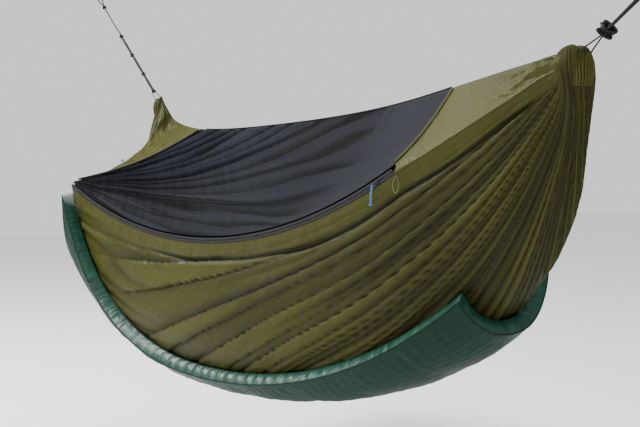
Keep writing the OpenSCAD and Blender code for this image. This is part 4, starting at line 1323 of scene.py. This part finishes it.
class HAMMOCK_OT_stage(bpy.types.Operator):
    """Pale floor, soft light and the camera"""
    bl_idname = "hammock.stage"
    bl_label = "Floor, light and camera"

    def execute(self, context):
        floor_z = -1.62
        points = [(-12, -12, floor_z), (12, -12, floor_z), (12, 12, floor_z), (-12, 12, floor_z)]
        floor = mesh_object("floor", points, [[0, 1, 2, 3]], [(0, 0), (1, 0), (1, 1), (0, 1)])
        f = Finish("Pale floor", (0.86, 0.86, 0.86, 1), 0.85)
        speck = f.noise(f.place(), 30.0, 3.0)
        f.set("Base Color", f.blend(speck.ramp(0.3, 0.7), (0.85, 0.85, 0.85, 1), (0.87, 0.87, 0.87, 1)))
        floor.data.materials.append(f.material)
        world = bpy.data.worlds.new("Studio")
        world.use_nodes = True
        world.node_tree.nodes["Background"].inputs["Color"].default_value = (1.0, 1.0, 1.0, 1)
        world.node_tree.nodes["Background"].inputs["Strength"].default_value = 1.0
        context.scene.world = world
        middle = hung([0, 0, -0.4])
        area_light("Key", middle + np.array([-2.2, -2.6, 3.4]), middle, (1.2, 1.2), 560)
        area_light("Fill", middle + np.array([3.4, -2.2, 1.2]), middle, (2.5, 2.5), 40)
        area_light("Top", middle + np.array([0.4, 0.6, 3.6]), middle, (3.0, 2.0), 90)
        camera = bpy.data.cameras.new("View")
        camera.sensor_width, camera.lens = 36, 56.08125
        camera.shift_x, camera.shift_y = 0.0336, -0.1077
        camera.clip_start, camera.clip_end = 0.05, 60
        obj = bpy.data.objects.new("View", camera)
        context.scene.collection.objects.link(obj)
        obj.location = hung([2.887, -1.587, -0.207])
        turn = math.radians(28.8)
        obj.rotation_euler = direction([-math.cos(turn), math.sin(turn), 0])
        context.scene.camera = obj
        return {"FINISHED"}


# ---- add-on

STEPS = ("stage", "suspension", "knots", "small_cords", "gathers", "bed", "end_panels", "net", "seams",
         "zip", "underquilt", "hardware")


class HAMMOCK_PT_panel(bpy.types.Panel):
    """The hammock's pieces and settings"""
    bl_idname = "HAMMOCK_PT_panel"
    bl_label = "Hammock"
    bl_space_type = "VIEW_3D"
    bl_region_type = "UI"
    bl_category = "Hammock"

    def draw(self, context):
        for step in STEPS:
            self.layout.operator(f"hammock.{step}")
        for group in (context.scene.hammock_cloth, context.scene.hammock_trim):
            box = self.layout.box()
            for name in group.__annotations__:
                box.prop(group, name)


CLASSES = (HammockCloth, HammockTrim, HAMMOCK_OT_stage, HAMMOCK_OT_suspension, HAMMOCK_OT_knots,
           HAMMOCK_OT_small_cords, HAMMOCK_OT_gathers, HAMMOCK_OT_bed, HAMMOCK_OT_end_panels, HAMMOCK_OT_net,
           HAMMOCK_OT_seams, HAMMOCK_OT_zip, HAMMOCK_OT_underquilt, HAMMOCK_OT_hardware, HAMMOCK_PT_panel)


def register():
    for each in CLASSES:
        bpy.utils.register_class(each)
    bpy.types.Scene.hammock_cloth = PointerProperty(type=HammockCloth)
    bpy.types.Scene.hammock_trim = PointerProperty(type=HammockTrim)


def unregister():
    del bpy.types.Scene.hammock_trim
    del bpy.types.Scene.hammock_cloth
    for each in reversed(CLASSES):
        bpy.utils.unregister_class(each)


def main():
    register()
    for step in STEPS:
        getattr(bpy.ops.hammock, step)()


if __name__ == "__main__":
    main()
